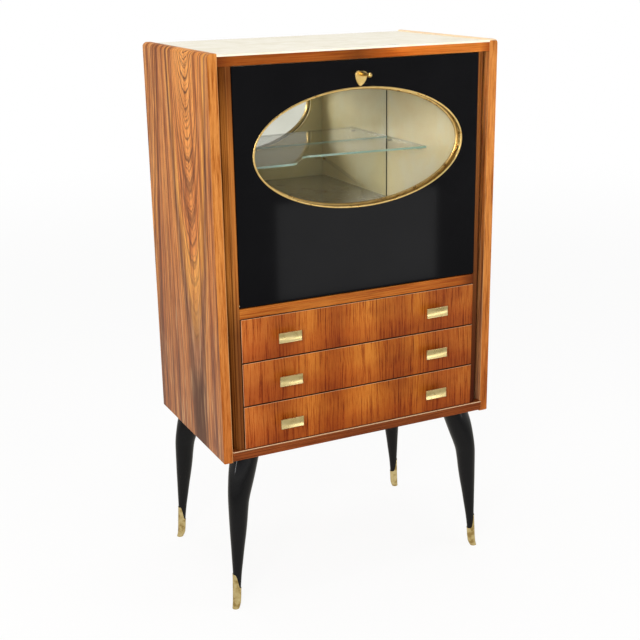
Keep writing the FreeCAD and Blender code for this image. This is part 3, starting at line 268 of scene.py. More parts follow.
def sideVeneer(look):
    # sliced rosewood veneer under clear lacquer: a flame of nested arches in honey, tan and dark brown,
    # with straight fine pores; the front edge is a plain straight-grained lipping
    material, add, shader, coords = startMaterial("slicedRosewoodVeneer", Roughness=0.4,
                                                  Specular_IOR_Level=0.06)

    def streaks(scale, detail, roughness):
        stretched = add("Mapping", {"Vector": coords, "Scale": scale})
        return add("TexNoise", {"Vector": stretched, "Scale": 1.0, "Detail": detail, "Roughness": roughness})

    alongX, alongY, alongZ = add("SeparateXYZ", {0: coords}).outputs
    wander, zigzag, steepening, wobble = (look[key] for key in ("wander", "zigzag", "steepening", "wobble"))
    moved = add("Math", {0: streaks((0, 7, 2.4), 2.0, 0.5), 1: wander, 2: -look["heartY"] - wander / 2},
                operation="MULTIPLY_ADD")
    across = add("Math", {0: alongY, 1: moved}, operation="ADD")
    drop = add("Math", {0: look["panelTop"], 1: alongZ}, operation="SUBTRACT")
    # flame: the ring is width squared (a little steeper far out) plus a depth that grows down the panel
    squared = add("Math", {0: across, 1: across}, operation="MULTIPLY")
    steeper = add("Math", {0: squared, 1: steepening, 2: 1.0}, operation="MULTIPLY_ADD")
    arms = add("Math", {0: squared, 1: steeper}, operation="MULTIPLY")
    turned = add("Math", {0: streaks((0, 75, 16), 1.0, 0.4), 1: zigzag, 2: -zigzag / 2},
                 operation="MULTIPLY_ADD")
    turnedDrop = add("Math", {0: drop, 1: turned}, operation="ADD")
    level = add("Math", {0: turnedDrop, 1: look["lastArch"], 2: look["archFade"]}, operation="SMOOTH_MIN")
    depth = add("Math", {0: level, 1: look["arch"], 2: -look["arch"] * look["firstArch"]},
                operation="MULTIPLY_ADD")
    ring = add("Math", {0: depth, 1: arms}, operation="ADD")
    flame = add("Math", {0: ring, 1: math.e}, operation="LOGARITHM")
    # the fan behind it: the flame's edge solved back to a width, then even steps to the back line
    left = add("Math", {0: look["flameEdge"], 1: depth}, operation="SUBTRACT")
    left = add("Math", {0: left, 1: 0.0012}, operation="MAXIMUM")
    root = add("Math", {0: left, 1: 4 * steepening, 2: 1.0}, operation="MULTIPLY_ADD")
    root = add("Math", {0: root}, operation="SQRT")
    edgeAt = add("Math", {0: root, 1: 0.5 / steepening, 2: -0.5 / steepening}, operation="MULTIPLY_ADD")
    edgeAt = add("Math", {0: edgeAt}, operation="SQRT")
    backAt = add("Math", {0: drop, 1: look["backLine"][1], 2: look["backLine"][0]}, operation="MULTIPLY_ADD")
    share = add("Math", {0: add("Math", {0: across, 1: edgeAt}, operation="SUBTRACT"),
                         1: add("Math", {0: backAt, 1: edgeAt}, operation="SUBTRACT")}, operation="DIVIDE")
    fan = add("Math", {0: share, 1: look["fanSpan"], 2: math.log(look["flameEdge"])},
              operation="MULTIPLY_ADD")
    outside = add("Math", {0: share, 1: 0.0}, operation="GREATER_THAN")
    measure = add("Mix", {0: outside, 2: flame, 3: fan}, data_type="FLOAT")
    measure = add("Math", {0: measure, 1: wobble / 2}, operation="SUBTRACT")
    measure = add("Math", {0: streaks((0, 110, 42), 3.0, 0.6), 1: wobble, 2: measure},
                  operation="MULTIPLY_ADD")
    # broad growth zones, then thin dark ring lines with finer and fainter ones between them
    low, high = look["measureEnds"]
    zone = add("MapRange", {"Value": measure, "From Min": low, "From Max": high})
    colour = add("ValToRGB", {0: zone}, stops=look["rings"])
    behind = add("Math", {0: share, 1: look["fanRings"], 2: math.sqrt(look["flameEdge"])},
                 operation="MULTIPLY_ADD")
    ringRoot = add("Mix", {0: outside, 2: add("Math", {0: ring}, operation="SQRT"), 3: behind},
                   data_type="FLOAT")
    followed = {"measure": measure, "root": ringRoot}
    for along, step, width, amount in look["ringLines"]:
        # the lines lie one step apart, stray to and fro and fade in and out
        count = add("Math", {0: followed[along], 1: step}, operation="DIVIDE")
        shift = add("TexNoise", {"W": count, "Scale": 0.4, "Detail": 1.0}, noise_dimensions="1D")
        count = add("Math", {0: shift, 1: look["lineShift"], 2: count}, operation="MULTIPLY_ADD")
        nearness = add("Math", {0: count, 1: 0.5}, operation="PINGPONG")
        line = add("MapRange", {"Value": nearness, "From Max": width, "To Min": amount, "To Max": 0.0},
                   interpolation_type="SMOOTHSTEP")
        faded = add("Math", {0: streaks((0, 14, 9), 1.0, 0.5), 1: 0.55}, operation="ADD")
        line = add("Math", {0: line, 1: faded}, operation="MULTIPLY", use_clamp=True)
        colour = add("Mix", {0: line, 6: colour, 7: look["lineTone"]}, **mixing)
    # the sapwood band that outlines the flame stays clear and golden
    sapwood = add("ValToRGB", {0: zone}, stops=look["sapwood"])
    sapwood = add("Math", {0: sapwood, 1: 0.4}, operation="MULTIPLY")
    colour = add("Mix", {0: sapwood, 6: colour, 7: "ffbe5c"}, **mixing)
    # soft upright bands about two centimetres wide
    bands = add("ValToRGB", {0: streaks((0, 52, 2.4), 3.0, 0.65)}, stops=look["bands"])
    colour = add("Mix", {0: 0.85, 6: colour, 7: bands}, **multiplying)
    # upright streaks 9 mm wide, stronger low down
    broad = add("ValToRGB", {0: streaks((0, 115, 8), 4.0, 0.7)}, stops=look["pores"])
    amount = add("MapRange", {"Value": drop, "From Min": 0.3, "From Max": 0.9, "To Min": 0.3, "To Max": 0.62})
    colour = add("Mix", {0: amount, 6: colour, 7: broad}, **multiplying)
    # pores: short dark dashes along the grain
    pores = streaks((0, 420, 16), 2.0, 0.7)
    colour = add("Mix", {0: 0.5, 6: colour, 7: add("ValToRGB", {0: pores}, stops=look["pores"])},
                 **multiplying)
    # the lower third is duller and browner
    dull = add("MapRange", {"Value": drop, **look["dullDrop"], "To Max": 0.8},
               interpolation_type="SMOOTHSTEP")
    colour = add("Mix", {0: dull, 6: colour, 7: "e2dad6"}, **multiplying)
    browner = add("Math", {0: dull, 1: 0.3}, operation="MULTIPLY")
    colour = add("Mix", {0: browner, 6: colour, 7: "a48878"}, **mixing)
    # pale strands between the streaks, mostly low down
    strand = add("MapRange", {"Value": streaks((0, 85, 6), 2.0, 0.6), "From Min": 0.54, "From Max": 0.66})
    strand = add("Math", {0: strand, 1: add("Math", {0: dull, 1: 0.35, 2: 0.12}, operation="MULTIPLY_ADD")},
                 operation="MULTIPLY")
    colour = add("Mix", {0: strand, 6: colour, 7: "f0c490"}, **mixing)
    # a dark knot shadow under the flame's tip
    under = add("MapRange", {"Value": turnedDrop, **look["knotDrop"]}, interpolation_type="SMOOTHSTEP")
    aside = add("Math", {0: across}, operation="ABSOLUTE")
    middle = add("MapRange", {"Value": aside, **look["knotAside"], "To Min": 0.78, "To Max": 0.0},
                 interpolation_type="SMOOTHSTEP")
    shadow = add("Math", {0: under, 1: middle}, operation="MULTIPLY")
    uneven = add("Math", {0: streaks((0, 60, 9), 2.0, 0.5), 1: 0.42}, operation="ADD")
    shadow = add("Math", {0: shadow, 1: uneven}, operation="MULTIPLY")
    colour = add("Mix", {0: shadow, 6: colour, 7: "54382a"}, **mixing)
    # a thin dark joint where the veneer meets the lipping
    joint = add("Math", {0: alongY, 1: look["panelFront"] + 1.3 * mm}, operation="LESS_THAN")
    joint = add("Math", {0: joint, 1: 0.6}, operation="MULTIPLY")
    colour = add("Mix", {0: joint, 6: colour, 7: "5a3418"}, **mixing)
    # the lipping on the front and back edges, its inner arris pale, mostly low down
    lipping = add("ValToRGB", {0: streaks((230, 60, 9), 5.0, 0.75)}, stops=look["lipping"])
    fromMiddle = add("Math", {0: alongX}, operation="ABSOLUTE")
    inner = add("Math", {0: fromMiddle, 1: look["lippingInner"]}, operation="LESS_THAN")
    paleArris = add("Math", {0: inner, 1: add("Math", {0: dull, 1: 0.5, 2: 0.16}, operation="MULTIPLY_ADD")},
               operation="MULTIPLY")
    lipping = add("Mix", {0: paleArris, 6: lipping, 7: "ecc890"}, **mixing)
    lipping = add("Mix", {0: dull, 6: lipping, 7: "e2c6b0"}, **multiplying)
    facing = add("SeparateXYZ", {0: add("TexCoord").outputs["Normal"]}).outputs["Y"]
    edge = add("Math", {0: add("Math", {0: facing}, operation="ABSOLUTE"), 1: 0.7}, operation="GREATER_THAN")
    colour = add("Mix", {0: edge, 6: colour, 7: lipping}, **mixing)
    # the right panel's top edge is bleached pale
    bleached = add("Math", {0: add("Math", {0: alongX, 1: 0.36}, operation="GREATER_THAN"),
                            1: add("Math", {0: drop, 1: 4 * mm}, operation="LESS_THAN")},
                   operation="MULTIPLY")
    bleached = add("Math", {0: bleached, 1: 0.8}, operation="MULTIPLY")
    colour = add("Mix", {0: bleached, 6: colour, 7: "f4dcb8"}, **mixing)
    bump = add("Bump", {"Height": pores, "Strength": 0.06, "Distance": 0.5 * mm})
    feed(shader, {"Base Color": colour, "Normal": bump})
    return material


dress(sideVeneer(sideLook), "left_side_panel", "right_side_panel")
print("side panels veneered")

# rails and stiles: line gaps in mm, slow and patch scales in features per metre
stileLook = {
    "along": "z", "lineGap": 2.2, "slow": 1.6, "shift": (0, 0, 0), "patches": 0.7, "patchScale": (30, 30, 3),
    "tones": [(0.34, "3c1e0a"), (0.43, "7c4418"), (0.50, "a86628"), (0.57, "c0803a"), (0.66, "68360f")],
    "flatTones": [(0.34, "60300c"), (0.44, "8c4c1a"), (0.50, "a8642a"), (0.56, "b87432"), (0.66, "7a4014")],
    # by height in metres: how dark the left stile's foot and head are, and the right one all the way (partly
    # painted shade)
    "leftFoot": {"From Min": 0.75, "From Max": 0.9, "To Min": 0.7, "To Max": 0.0},
    "leftHead": {"From Min": 1.2, "From Max": 1.36, "To Max": 0.75},
    "right": {"From Min": 0.5, "From Max": 1.3, "To Min": 1.0, "To Max": 0.5},
    "heartwood": "64432f",
}
railReach = 0.366            # metres from the middle to a rail's end
topRailLook = {
    "along": "x", "lineGap": 2.8, "slow": 5.0, "shift": (3, 1, 0), "patches": 0.3, "patchScale": (4, 30, 30),
    "tones": [(0.34, "a44c16"), (0.44, "c46c22"), (0.50, "d67e30"), (0.56, "dc8a3c"), (0.66, "b05e1c")],
    "tonesAlongX": [(0.0, "7c6458"), (0.06, "aa9484"), (0.30, "b8a494"), (0.42, "aa9c90"), (0.49, "8a7c72"),
                    (0.56, "b49c8a"), (0.66, "f4dcc4"), (0.96, "ffffff"), (1.0, "b89078")],
}
middleRailLook = {
    "along": "x", "lineGap": 3.0, "slow": 5.0, "shift": (7, 2, 0), "patches": 0.35, "patchScale": (4, 30, 30),
    "tones": [(0.34, "7c380a"), (0.44, "a45418"), (0.50, "b86c26"), (0.56, "c47a30"), (0.66, "8c4612")],
    "tonesAlongX": [(0.0, "ffffff"), (0.75, "f4e8e0"), (0.90, "d0b8a8"), (0.96, "7a6054"), (1.0, "685044")],
}
bottomRailLook = {
    "along": "x", "lineGap": 2.6, "slow": 4.0, "shift": (1, 5, 0), "patches": 0.5, "patchScale": (4, 30, 30),
    "tones": [(0.34, "401806"), (0.44, "682e0e"), (0.50, "7c3c18"), (0.56, "904c22"), (0.66, "58260c")],
    "arris": 0.4476,         # height above which its upper front arris is painted pale as a highlight
}


def straightGrain(name, look):
    # straight-grained solid wood under lacquer: long dark lines with lighter strands between them
    material, add, shader, coords = startMaterial(name, Roughness=0.38, Specular_IOR_Level=0.08)
    place = add("SeparateXYZ", {0: coords}).outputs
    fine, slow = 1000 / look["lineGap"], look["slow"]
    lineScale = {"x": (slow, fine, fine), "z": (fine, fine, slow)}[look["along"]]
    stretched = add("Mapping", {"Vector": coords, "Scale": lineScale, "Location": look["shift"]})
    strand = add("TexNoise", {"Vector": stretched, "Scale": 1.0, "Detail": 5.0, "Roughness": 0.72})
    colour = add("ValToRGB", {0: strand}, stops=look["tones"])
    # slow patches of darker heartwood
    stretched = add("Mapping", {"Vector": coords, "Scale": look["patchScale"], "Location": look["shift"]})
    patch = add("TexNoise", {"Vector": stretched, "Scale": 1.0, "Detail": 1.0})
    patchTone = add("ValToRGB", {0: patch}, stops=[(0.32, "a89484"), (0.55, "ffffff"), (0.75, "fff6ea")])
    colour = add("Mix", {0: look["patches"], 6: colour, 7: patchTone}, **multiplying)
    if "tonesAlongX" in look:
        # broad change of tone from the left end to the right end
        span = add("MapRange", {"Value": place["X"], "From Min": -railReach, "From Max": railReach})
        tone = add("ValToRGB", {0: span}, stops=look["tonesAlongX"])
        colour = add("Mix", {0: 1.0, 6: colour, 7: tone}, **multiplying)
    if "flatTones" in look:
        # the narrow flat beside the opening is lighter than the bevel
        facing = add("SeparateXYZ", {0: add("TexCoord").outputs["Normal"]}).outputs["Y"]
        flat = add("Math", {0: facing, 1: -0.95}, operation="LESS_THAN")
        light = add("ValToRGB", {0: strand}, stops=look["flatTones"])
        colour = add("Mix", {0: flat, 6: colour, 7: light}, **mixing)
        # the left stile is darker at both ends; the right one is darker all the way, partly darker heartwood
        # and partly painted shade
        right = add("Math", {0: place["X"], 1: 0.0}, operation="GREATER_THAN")
        foot = add("MapRange", {"Value": place["Z"], **look["leftFoot"]})
        head = add("MapRange", {"Value": place["Z"], **look["leftHead"]})
        ends = add("Math", {0: foot, 1: head}, operation="MAXIMUM")
        depth = add("MapRange", {"Value": place["Z"], **look["right"]})
        amount = add("Mix", {0: right, 2: ends, 3: depth}, data_type="FLOAT")
        colour = add("Mix", {0: amount, 6: colour, 7: look["heartwood"]}, **multiplying)
    if "arris" in look:
        # painted highlight: the upper front arris is painted pale
        paleArris = add("Math", {0: place["Z"], 1: look["arris"]}, operation="GREATER_THAN")
        facing = add("SeparateXYZ", {0: add("TexCoord").outputs["Normal"]}).outputs["Z"]
        level = add("Math", {0: facing, 1: 0.9}, operation="LESS_THAN")
        paleArris = add("Math", {0: paleArris, 1: level}, operation="MULTIPLY")
        paleArris = add("Math", {0: paleArris, 1: 0.6}, operation="MULTIPLY")
        colour = add("Mix", {0: paleArris, 6: colour, 7: "e8c8a0"}, **mixing)
    bump = add("Bump", {"Height": strand, "Strength": 0.06, "Distance": 0.5 * mm})
    feed(shader, {"Base Color": colour, "Normal": bump})
    return material


dress(straightGrain("darkStraightGrainStile", stileLook), "left_stile", "right_stile")
dress(straightGrain("reddishTopRail", topRailLook), "top_rail")
dress(straightGrain("reddishMiddleRail", middleRailLook), "middle_rail")
dress(straightGrain("darkBottomRail", bottomRailLook), "bottom_rail")
print("rails and stiles dressed")

# drawer fronts
drawerLook = {
    "streakWidth": 4.2,      # mm between the upright streaks
    "lean": 0.016,           # metres by which they lean and bow
    "arris": 1.0,            # mm of edge painted pale as a highlight
    "span": (-0.31, 0.36),   # metres over which the bands lie
    "bands": [
        (0.00, "c47634"), (0.06, "b4682a"), (0.13, "a85e22"), (0.19, "b86c28"), (0.25, "c87e30"),
        (0.30, "ae6420"), (0.36, "a0561a"), (0.42, "bc7026"), (0.50, "c88030"), (0.56, "b26a22"),
        (0.64, "a0581c"), (0.72, "bc7428"), (0.80, "a45a20"), (0.88, "aa6024"), (0.94, "b46c2a"),
        (1.00, "a05a22"),
    ],
    "streaks": [(0.35, "642c10"), (0.42, "a06640"), (0.47, "e0b890"), (0.53, "f4eeea"), (0.60, "f2e4d0"),
                (0.67, "a87248")],
    "clouds": [(0.34, "b88c76"), (0.52, "ffffff"), (0.72, "fff4e4")],
}


def drawerVeneer(count, look):
    # quarter-cut veneer laid upright, one run over all three fronts: fine reddish streaks in broad light and
    # dark bands, and a painted highlight: a thin pale line along the upper and left edges
    low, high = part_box(f"drawer_{count}_front")
    material, add, shader, coords = startMaterial(f"uprightDrawerVeneer{count}", Roughness=0.34,
                                                  Specular_IOR_Level=0.10)
    place = add("SeparateXYZ", {0: coords}).outputs
    # the streaks lean and bow a little
    stretched = add("Mapping", {"Vector": coords, "Scale": (5, 0, 5), "Location": (count * 2.1, 0, 0)})
    lean = add("TexNoise", {"Vector": stretched, "Scale": 1.0, "Detail": 1.0})
    moved = add("Math", {0: lean, 1: look["lean"], 2: place["X"]}, operation="MULTIPLY_ADD")
    upright = add("CombineXYZ", {0: moved, 2: place["Z"]})
    span = add("MapRange", {"Value": moved, "From Min": look["span"][0], "From Max": look["span"][1]})
    bands = add("ValToRGB", {0: span}, stops=look["bands"])
    stretched = add("Mapping", {"Vector": upright, "Scale": (1000 / look["streakWidth"], 0, 5.5),
                                "Location": (count * 3.7, 0, 0)})
    streaks = add("TexNoise", {"Vector": stretched, "Scale": 1.0, "Detail": 5.0, "Roughness": 0.85})
    streakTone = add("ValToRGB", {0: streaks}, stops=look["streaks"])
    colour = add("Mix", {0: 0.9, 6: bands, 7: streakTone}, **multiplying)
    # redder towards the lower edge of each front
    rise = add("MapRange", {"Value": place["Z"], "From Min": low.z, "From Max": high.z})
    redden = add("ValToRGB", {0: rise}, stops=[(0.0, "c08870"), (0.30, "e6c4b2"), (0.60, "ffffff")])
    colour = add("Mix", {0: 0.6, 6: colour, 7: redden}, **multiplying)
    # slow clouding from the polish
    stretched = add("Mapping", {"Vector": coords, "Scale": (9, 0, 14), "Location": (count * 5.3, 0, 0)})
    cloud = add("TexNoise", {"Vector": stretched, "Scale": 1.0, "Detail": 2.0})
    cloudTone = add("ValToRGB", {0: cloud}, stops=look["clouds"])
    colour = add("Mix", {0: 0.32, 6: colour, 7: cloudTone}, **multiplying)
    # painted highlight: a thin pale line along the upper and left edges
    fromTop = add("Math", {0: place["Z"], 1: high.z - look["arris"] * mm}, operation="GREATER_THAN")
    fromLeft = add("Math", {0: place["X"], 1: low.x + look["arris"] * mm}, operation="LESS_THAN")
    arris = add("Math", {0: fromTop, 1: fromLeft}, operation="MAXIMUM")
    arris = add("Math", {0: arris, 1: 0.5}, operation="MULTIPLY")
    colour = add("Mix", {0: arris, 6: colour, 7: "e8bc94"}, **mixing)
    # painted shade: the faces round the front, down in the gaps, are dark
    facing = add("SeparateXYZ", {0: add("TexCoord").outputs["Normal"]}).outputs["Y"]
    front = add("Math", {0: facing, 1: -0.7}, operation="LESS_THAN")
    colour = add("Mix", {0: front, 6: "3a1c0c", 7: colour}, **mixing)
    bump = add("Bump", {"Height": streaks, "Strength": 0.05, "Distance": 0.5 * mm})
    feed(shader, {"Base Color": colour, "Normal": bump})
    return material


for count in (1, 2, 3):
    dress(drawerVeneer(count, drawerLook), f"drawer_{count}_front")
print("drawer fronts veneered")


# hidden wood
def plainBoard(name, light, dark, grain):
    # sanded and waxed beech: even pale wood with short flecks along the grain
    material, add, shader, coords = startMaterial(name, Roughness=0.55, Specular_IOR_Level=0.3)
    stretched = add("Mapping", {"Vector": coords, "Scale": grain})
    fleck = add("TexNoise", {"Vector": stretched, "Scale": 1.0, "Detail": 4.0, "Roughness": 0.6})
    colour = add("ValToRGB", {0: fleck}, stops=[(0.3, dark), (0.7, light)])
    bump = add("Bump", {"Height": fleck, "Strength": 0.08, "Distance": 0.5 * mm})
    feed(shader, {"Base Color": colour, "Normal": bump})
    return material


# flecks 4 mm wide and 11 cm long
dress(plainBoard("waxedBeechBoard", "c9a878", "a98354", (9, 260, 260)), "top_board", "bottom_board",
      "middle_board", "bar_floor", "drawer_1_back", "drawer_2_back", "drawer_3_back")
dress(plainBoard("waxedBeechUpright", "c4a272", "a37d50", (260, 260, 9)), "left_cheek", "right_cheek")
dress(plainBoard("waxedBeechDrawerSide", "d0b084", "b18c5c", (260, 9, 260)), "drawer_1_sides",
      "drawer_2_sides", "drawer_3_sides", "drawer_runners")
dress(plainBoard("birchPlywoodBottom", "d8bd92", "bb9a6c", (12, 200, 200)), "drawer_1_bottom",
      "drawer_2_bottom", "drawer_3_bottom")
dress(plainBoard("brownHardboardBack", "7c5a3a", "5c4028", (90, 90, 90)), "back_panel")


# laminate and linings
def mottledSheet(name, tones, patchSize, **shaderValues):
    # decorative laminate: a faint cloudy print of patches a few centimetres wide under a smooth surface
    material, add, shader, coords = startMaterial(name, **shaderValues)
    cloud = add("TexNoise", {"Vector": coords, "Scale": 1000 / patchSize, "Detail": 5.0, "Roughness": 0.6,
                             "Distortion": 0.6})
    feed(shader, {"Base Color": add("ValToRGB", {0: cloud}, stops=tones)})
    return material


dress(mottledSheet("creamLaminateTop", [(0.30, "e9e0c4"), (0.50, "f1e9d2"), (0.70, "f6f0de")], 60,
                   Roughness=0.25, Specular_IOR_Level=0.4), "top_sheet")
dress(mottledSheet("creamGlossLining", [(0.30, "fbe8ac"), (0.50, "fff1bc"), (0.70, "fff7d0")], 120,
                   Roughness=0.34, Specular_IOR_Level=0.75), "left_lining", "right_lining")
# painted light: the door's lining is the same cream lining, painted paler than the others to brighten it
# where it lies in shade
dress(mottledSheet("creamDoorLiningPaintedPaler", [(0.30, "fff2c0"), (0.50, "fff8cc"), (0.70, "fffbdc")], 120,
                   Roughness=0.34, Specular_IOR_Level=0.75), "door_lining")

# glass and mirror; alpha is that of the faces square on, of the other edges and of the front edge
paneLook = {"faceAxis": "Y", "sheen": 0.2, "coat": 0.0, "slant": 0.2, "tint": "c8c09a",
            "frontEdge": ("8fae9c", "a3bfae"), "otherEdge": "8a9a86", "alpha": (0.03, 0.9, 0.9)}
shelfLook = {"faceAxis": "Z", "sheen": 0.5, "coat": 1.0, "slant": 0.6, "tint": "3e4234",
             "frontEdge": ("7fae9f", "b4d6c6"), "otherEdge": "8f9678", "alpha": (0.05, 0.40, 0.95)}


def clearGlass(name, look):
    # polished plate glass: clear face on and more of a mirror at a slant; its cut front edge is dense and
    # blue-green with a painted highlight, and the edges turned away from the light are painted dull
    material, add, shader, coords = startMaterial(name, Roughness=0.02, IOR=1.5,
                                                  Specular_IOR_Level=look["sheen"],
                                                  Coat_Weight=look["coat"], Coat_Roughness=0.02,
                                                  Coat_IOR=1.8)
    facing = add("SeparateXYZ", {0: add("TexCoord").outputs["Normal"]}).outputs
    face = add("Math", {0: facing[look["faceAxis"]]}, operation="ABSOLUTE")
    face = add("Math", {0: face, 1: 0.7}, operation="GREATER_THAN")
    front = add("Math", {0: facing["Y"], 1: -0.6}, operation="LESS_THAN")
    ripple = add("TexNoise", {"Vector": coords, "Scale": 14.0, "Detail": 2.0})
    # painted highlight: the front edge is paler than the other edges
    litFrontEdge = add("ValToRGB", {0: ripple}, stops=list(zip((0.3, 0.7), look["frontEdge"])))
    edge = add("Mix", {0: front, 6: look["otherEdge"], 7: litFrontEdge}, **mixing)
    colour = add("Mix", {0: face, 6: edge, 7: look["tint"]}, **mixing)
    # how much a face shows itself: little seen square on, growing with the fifth power of the slant
    faceOn, otherEdge, frontEdge = look["alpha"]
    slant = add("Math", {0: add("LayerWeight", {"Blend": 0.5}).outputs["Facing"], 1: 5.0}, operation="POWER")
    faceAlpha = add("Math", {0: slant, 1: look["slant"], 2: faceOn}, operation="MULTIPLY_ADD")
    edgeAlpha = add("MapRange", {"Value": front, "To Min": otherEdge, "To Max": frontEdge})
    alpha = add("Mix", {0: face, 2: edgeAlpha, 3: faceAlpha}, data_type="FLOAT")
    feed(shader, {"Base Color": colour, "Alpha": alpha})
    return material


mirrorLook = {"tones": [(0.30, "dcded4"), (0.55, "e6e8e0"), (0.75, "eef0ea")], "cornerShadeTone": "3c3826",
              "cornerShadeFrom": 0.3218}  # metres from the middle to where the painted shade of the corners starts


def silveredGlass(name, look):
    # mirror: silver behind glass, a little dimmer than the room, with faint age clouds
    material, add, shader, coords = startMaterial(name, Metallic=1.0, Roughness=0.015)
    age = add("TexNoise", {"Vector": coords, "Scale": 9.0, "Detail": 4.0})
    colour = add("ValToRGB", {0: age}, stops=look["tones"])
    # painted shade: the side edges, in the corners against the linings, are a dark line
    side = add("Math", {0: add("SeparateXYZ", {0: coords}).outputs["X"]}, operation="ABSOLUTE")
    cornerShade = add("Math", {0: side, 1: look["cornerShadeFrom"]}, operation="GREATER_THAN")
    feed(shader, {"Base Color": add("Mix", {0: cornerShade, 6: colour, 7: look["cornerShadeTone"]}, **mixing)})
    return material


def backedGlass(name):
    # glass painted dark on its back: brown-grey and glossy, so that it mirrors the bar softly
    material, add, shader, coords = startMaterial(name, Roughness=0.05, IOR=1.5, Specular_IOR_Level=0.6)
    cloud = add("TexNoise", {"Vector": coords, "Scale": 12.0, "Detail": 3.0})
    feed(shader, {"Base Color": add("ValToRGB", {0: cloud}, stops=[(0.3, "786f5e"), (0.7, "877e6c")])})
    return material


dress(clearGlass("polishedWindowPane", paneLook), "window_glass")
dress(clearGlass("polishedGlassShelf", shelfLook), "glass_shelf")
dress(silveredGlass("silveredMirror", mirrorLook), "back_mirror")
dress(backedGlass("darkBackedGlassFloor"), "bar_floor_glass")


# lacquer and metal
def blackLacquer(name, roughness, sheen):
    # black polyester lacquer, buffed: near black with a thin clear gloss and the faintest orange peel,
    # 6 mm wide
    material, add, shader, coords = startMaterial(name, Roughness=roughness, Specular_IOR_Level=sheen)
    cloud = add("TexNoise", {"Vector": coords, "Scale": 6.0, "Detail": 3.0})
    colour = add("ValToRGB", {0: cloud}, stops=[(0.3, "09090b"), (0.7, "0d0d0f")])
    peel = add("TexNoise", {"Vector": coords, "Scale": 160.0, "Detail": 1.0})
    bump = add("Bump", {"Height": peel, "Strength": 0.015, "Distance": 0.4 * mm})
    feed(shader, {"Base Color": colour, "Normal": bump})
    return material


def brass(name, tones, roughness, brush):
    # polished brass, unlacquered: pale gold with faint brush lines and a few dull patches
    material, add, shader, coords = startMaterial(name, Metallic=1.0)
    dull = add("TexNoise", {"Vector": coords, "Scale": 60.0, "Detail": 3.0, "Roughness": 0.5})
    rough = add("MapRange", {"Value": dull, "From Min": 0.3, "From Max": 0.7, "To Min": roughness * 0.8,
                             "To Max": roughness * 1.3})
    stretched = add("Mapping", {"Vector": coords, "Scale": brush})
    lines = add("TexNoise", {"Vector": stretched, "Scale": 1.0, "Detail": 2.0})
    bump = add("Bump", {"Height": lines, "Strength": 0.012, "Distance": 0.3 * mm})
    feed(shader, {"Base Color": add("ValToRGB", {0: dull}, stops=tones), "Roughness": rough, "Normal": bump})
    return material


def zincSteel(name):
    # bright zinc plate on pressed steel: cool grey with soft brush lines under 1 mm wide
    material, add, shader, coords = startMaterial(name, Metallic=1.0, Roughness=0.34)
    stretched = add("Mapping", {"Vector": coords, "Scale": (1200, 1200, 120)})
    lines = add("TexNoise", {"Vector": stretched, "Scale": 1.0, "Detail": 2.0})
    feed(shader, {"Base Color": add("ValToRGB", {0: lines}, stops=[(0.3, "a9a9a6"), (0.7, "c6c6c3")])})
    return material


legLacquer = blackLacquer("blackPolyesterLeg", 0.07, 0.24)
pullBrass = brass("brushedPaleBrassPull", [(0.30, "d6c086"), (0.50, "dcc88e"), (0.70, "e4d09a")], 0.28,
                  (60, 900, 900))
ringBrass = brass("polishedBrassRing", [(0.30, "d2aa66"), (0.50, "dcba74"), (0.70, "e8c886")], 0.30,
                  (40, 40, 40))
beadBrass = brass("satinPaleBrassBead", [(0.30, "f8e6b0"), (0.50, "fcecba"), (0.70, "fff2c8")], 0.5,
                  (300, 300, 300))
shieldBrass = brass("satinBrassShield", [(0.30, "d8b468"), (0.50, "e2c178"), (0.70, "eacc88")], 0.34,
                    (700, 700, 700))
shoeBrass = brass("polishedPaleBrassShoe", [(0.36, "b89c60"), (0.50, "e2cb90"), (0.66, "f0dca6")], 0.15,
                  (700, 700, 60))
dress(blackLacquer("blackPolyesterDoor", 0.06, 0.05), "door_panel")
dress(shieldBrass, "escutcheon")
dress(brass("polishedBrassFitting", [(0.30, "d2aa60"), (0.50, "deba6e"), (0.70, "e8c87e")], 0.2,
            (500, 500, 500)),
      "hinge_bushes", "stay_studs")
dress(brass("satinPaleBrassStay", [(0.30, "e8dcb4"), (0.50, "eee4c0"), (0.70, "f4eac8")], 0.5,
            (700, 700, 700)),
      "left_stay", "right_stay", "stay_brackets")
dress(zincSteel("zincPlatedSteel"), "hinge_pins", "back_screws", "lock_bolt", "lock_case", "shelf_studs")
print("hidden parts, glass, lacquer and metal dressed")


# computed pieces
def closeEnds(grid):
    # a row is added at each end, drawn together in the middle of the row beside it
    first, last = (np.broadcast_to(row.mean(1, keepdims=True), row.shape) for row in (grid[:1], grid[-1:]))
    return np.concatenate([first, grid, last])


def surfacePiece(name, grids, material, body, replaced, sharpAngle=40):
    # grids: arrays of rows by columns by xyz in mm, closed round the columns
    vertices, faces, start = [], [], 0
    for grid in grids:
        rows, columns = grid.shape[:2]
        index = np.arange(rows * columns).reshape(rows, columns) + start
        nextColumn = np.roll(index, -1, axis=1)
        quads = np.stack([index[:-1], nextColumn[:-1], nextColumn[1:], index[1:]], axis=-1).reshape(-1, 4)
        vertices.append(grid.reshape(-1, 3) * mm)
        faces.append(quads)
        start += rows * columns
    mesh = bpy.data.meshes.new(name)
    mesh.from_pydata(np.concatenate(vertices).tolist(), [], np.concatenate(faces).tolist())
    shell = bmesh.new()
    shell.from_mesh(mesh)
    bmesh.ops.remove_doubles(shell, verts=shell.verts, dist=1e-6)
    bmesh.ops.dissolve_degenerate(shell, edges=shell.edges, dist=1e-7)
    bmesh.ops.recalc_face_normals(shell, faces=shell.faces)
    shell.to_mesh(mesh)
    shell.free()
    mesh.polygons.foreach_set("use_smooth", np.ones(len(mesh.polygons), bool))
    mesh.set_sharp_from_angle(angle=math.radians(sharpAngle))
    mesh.materials.append(material)
    piece = bpy.data.objects.new(name, mesh)
    bpy.context.scene.collection.objects.link(piece)
    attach(piece, body)
    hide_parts(*replaced)
    return piece


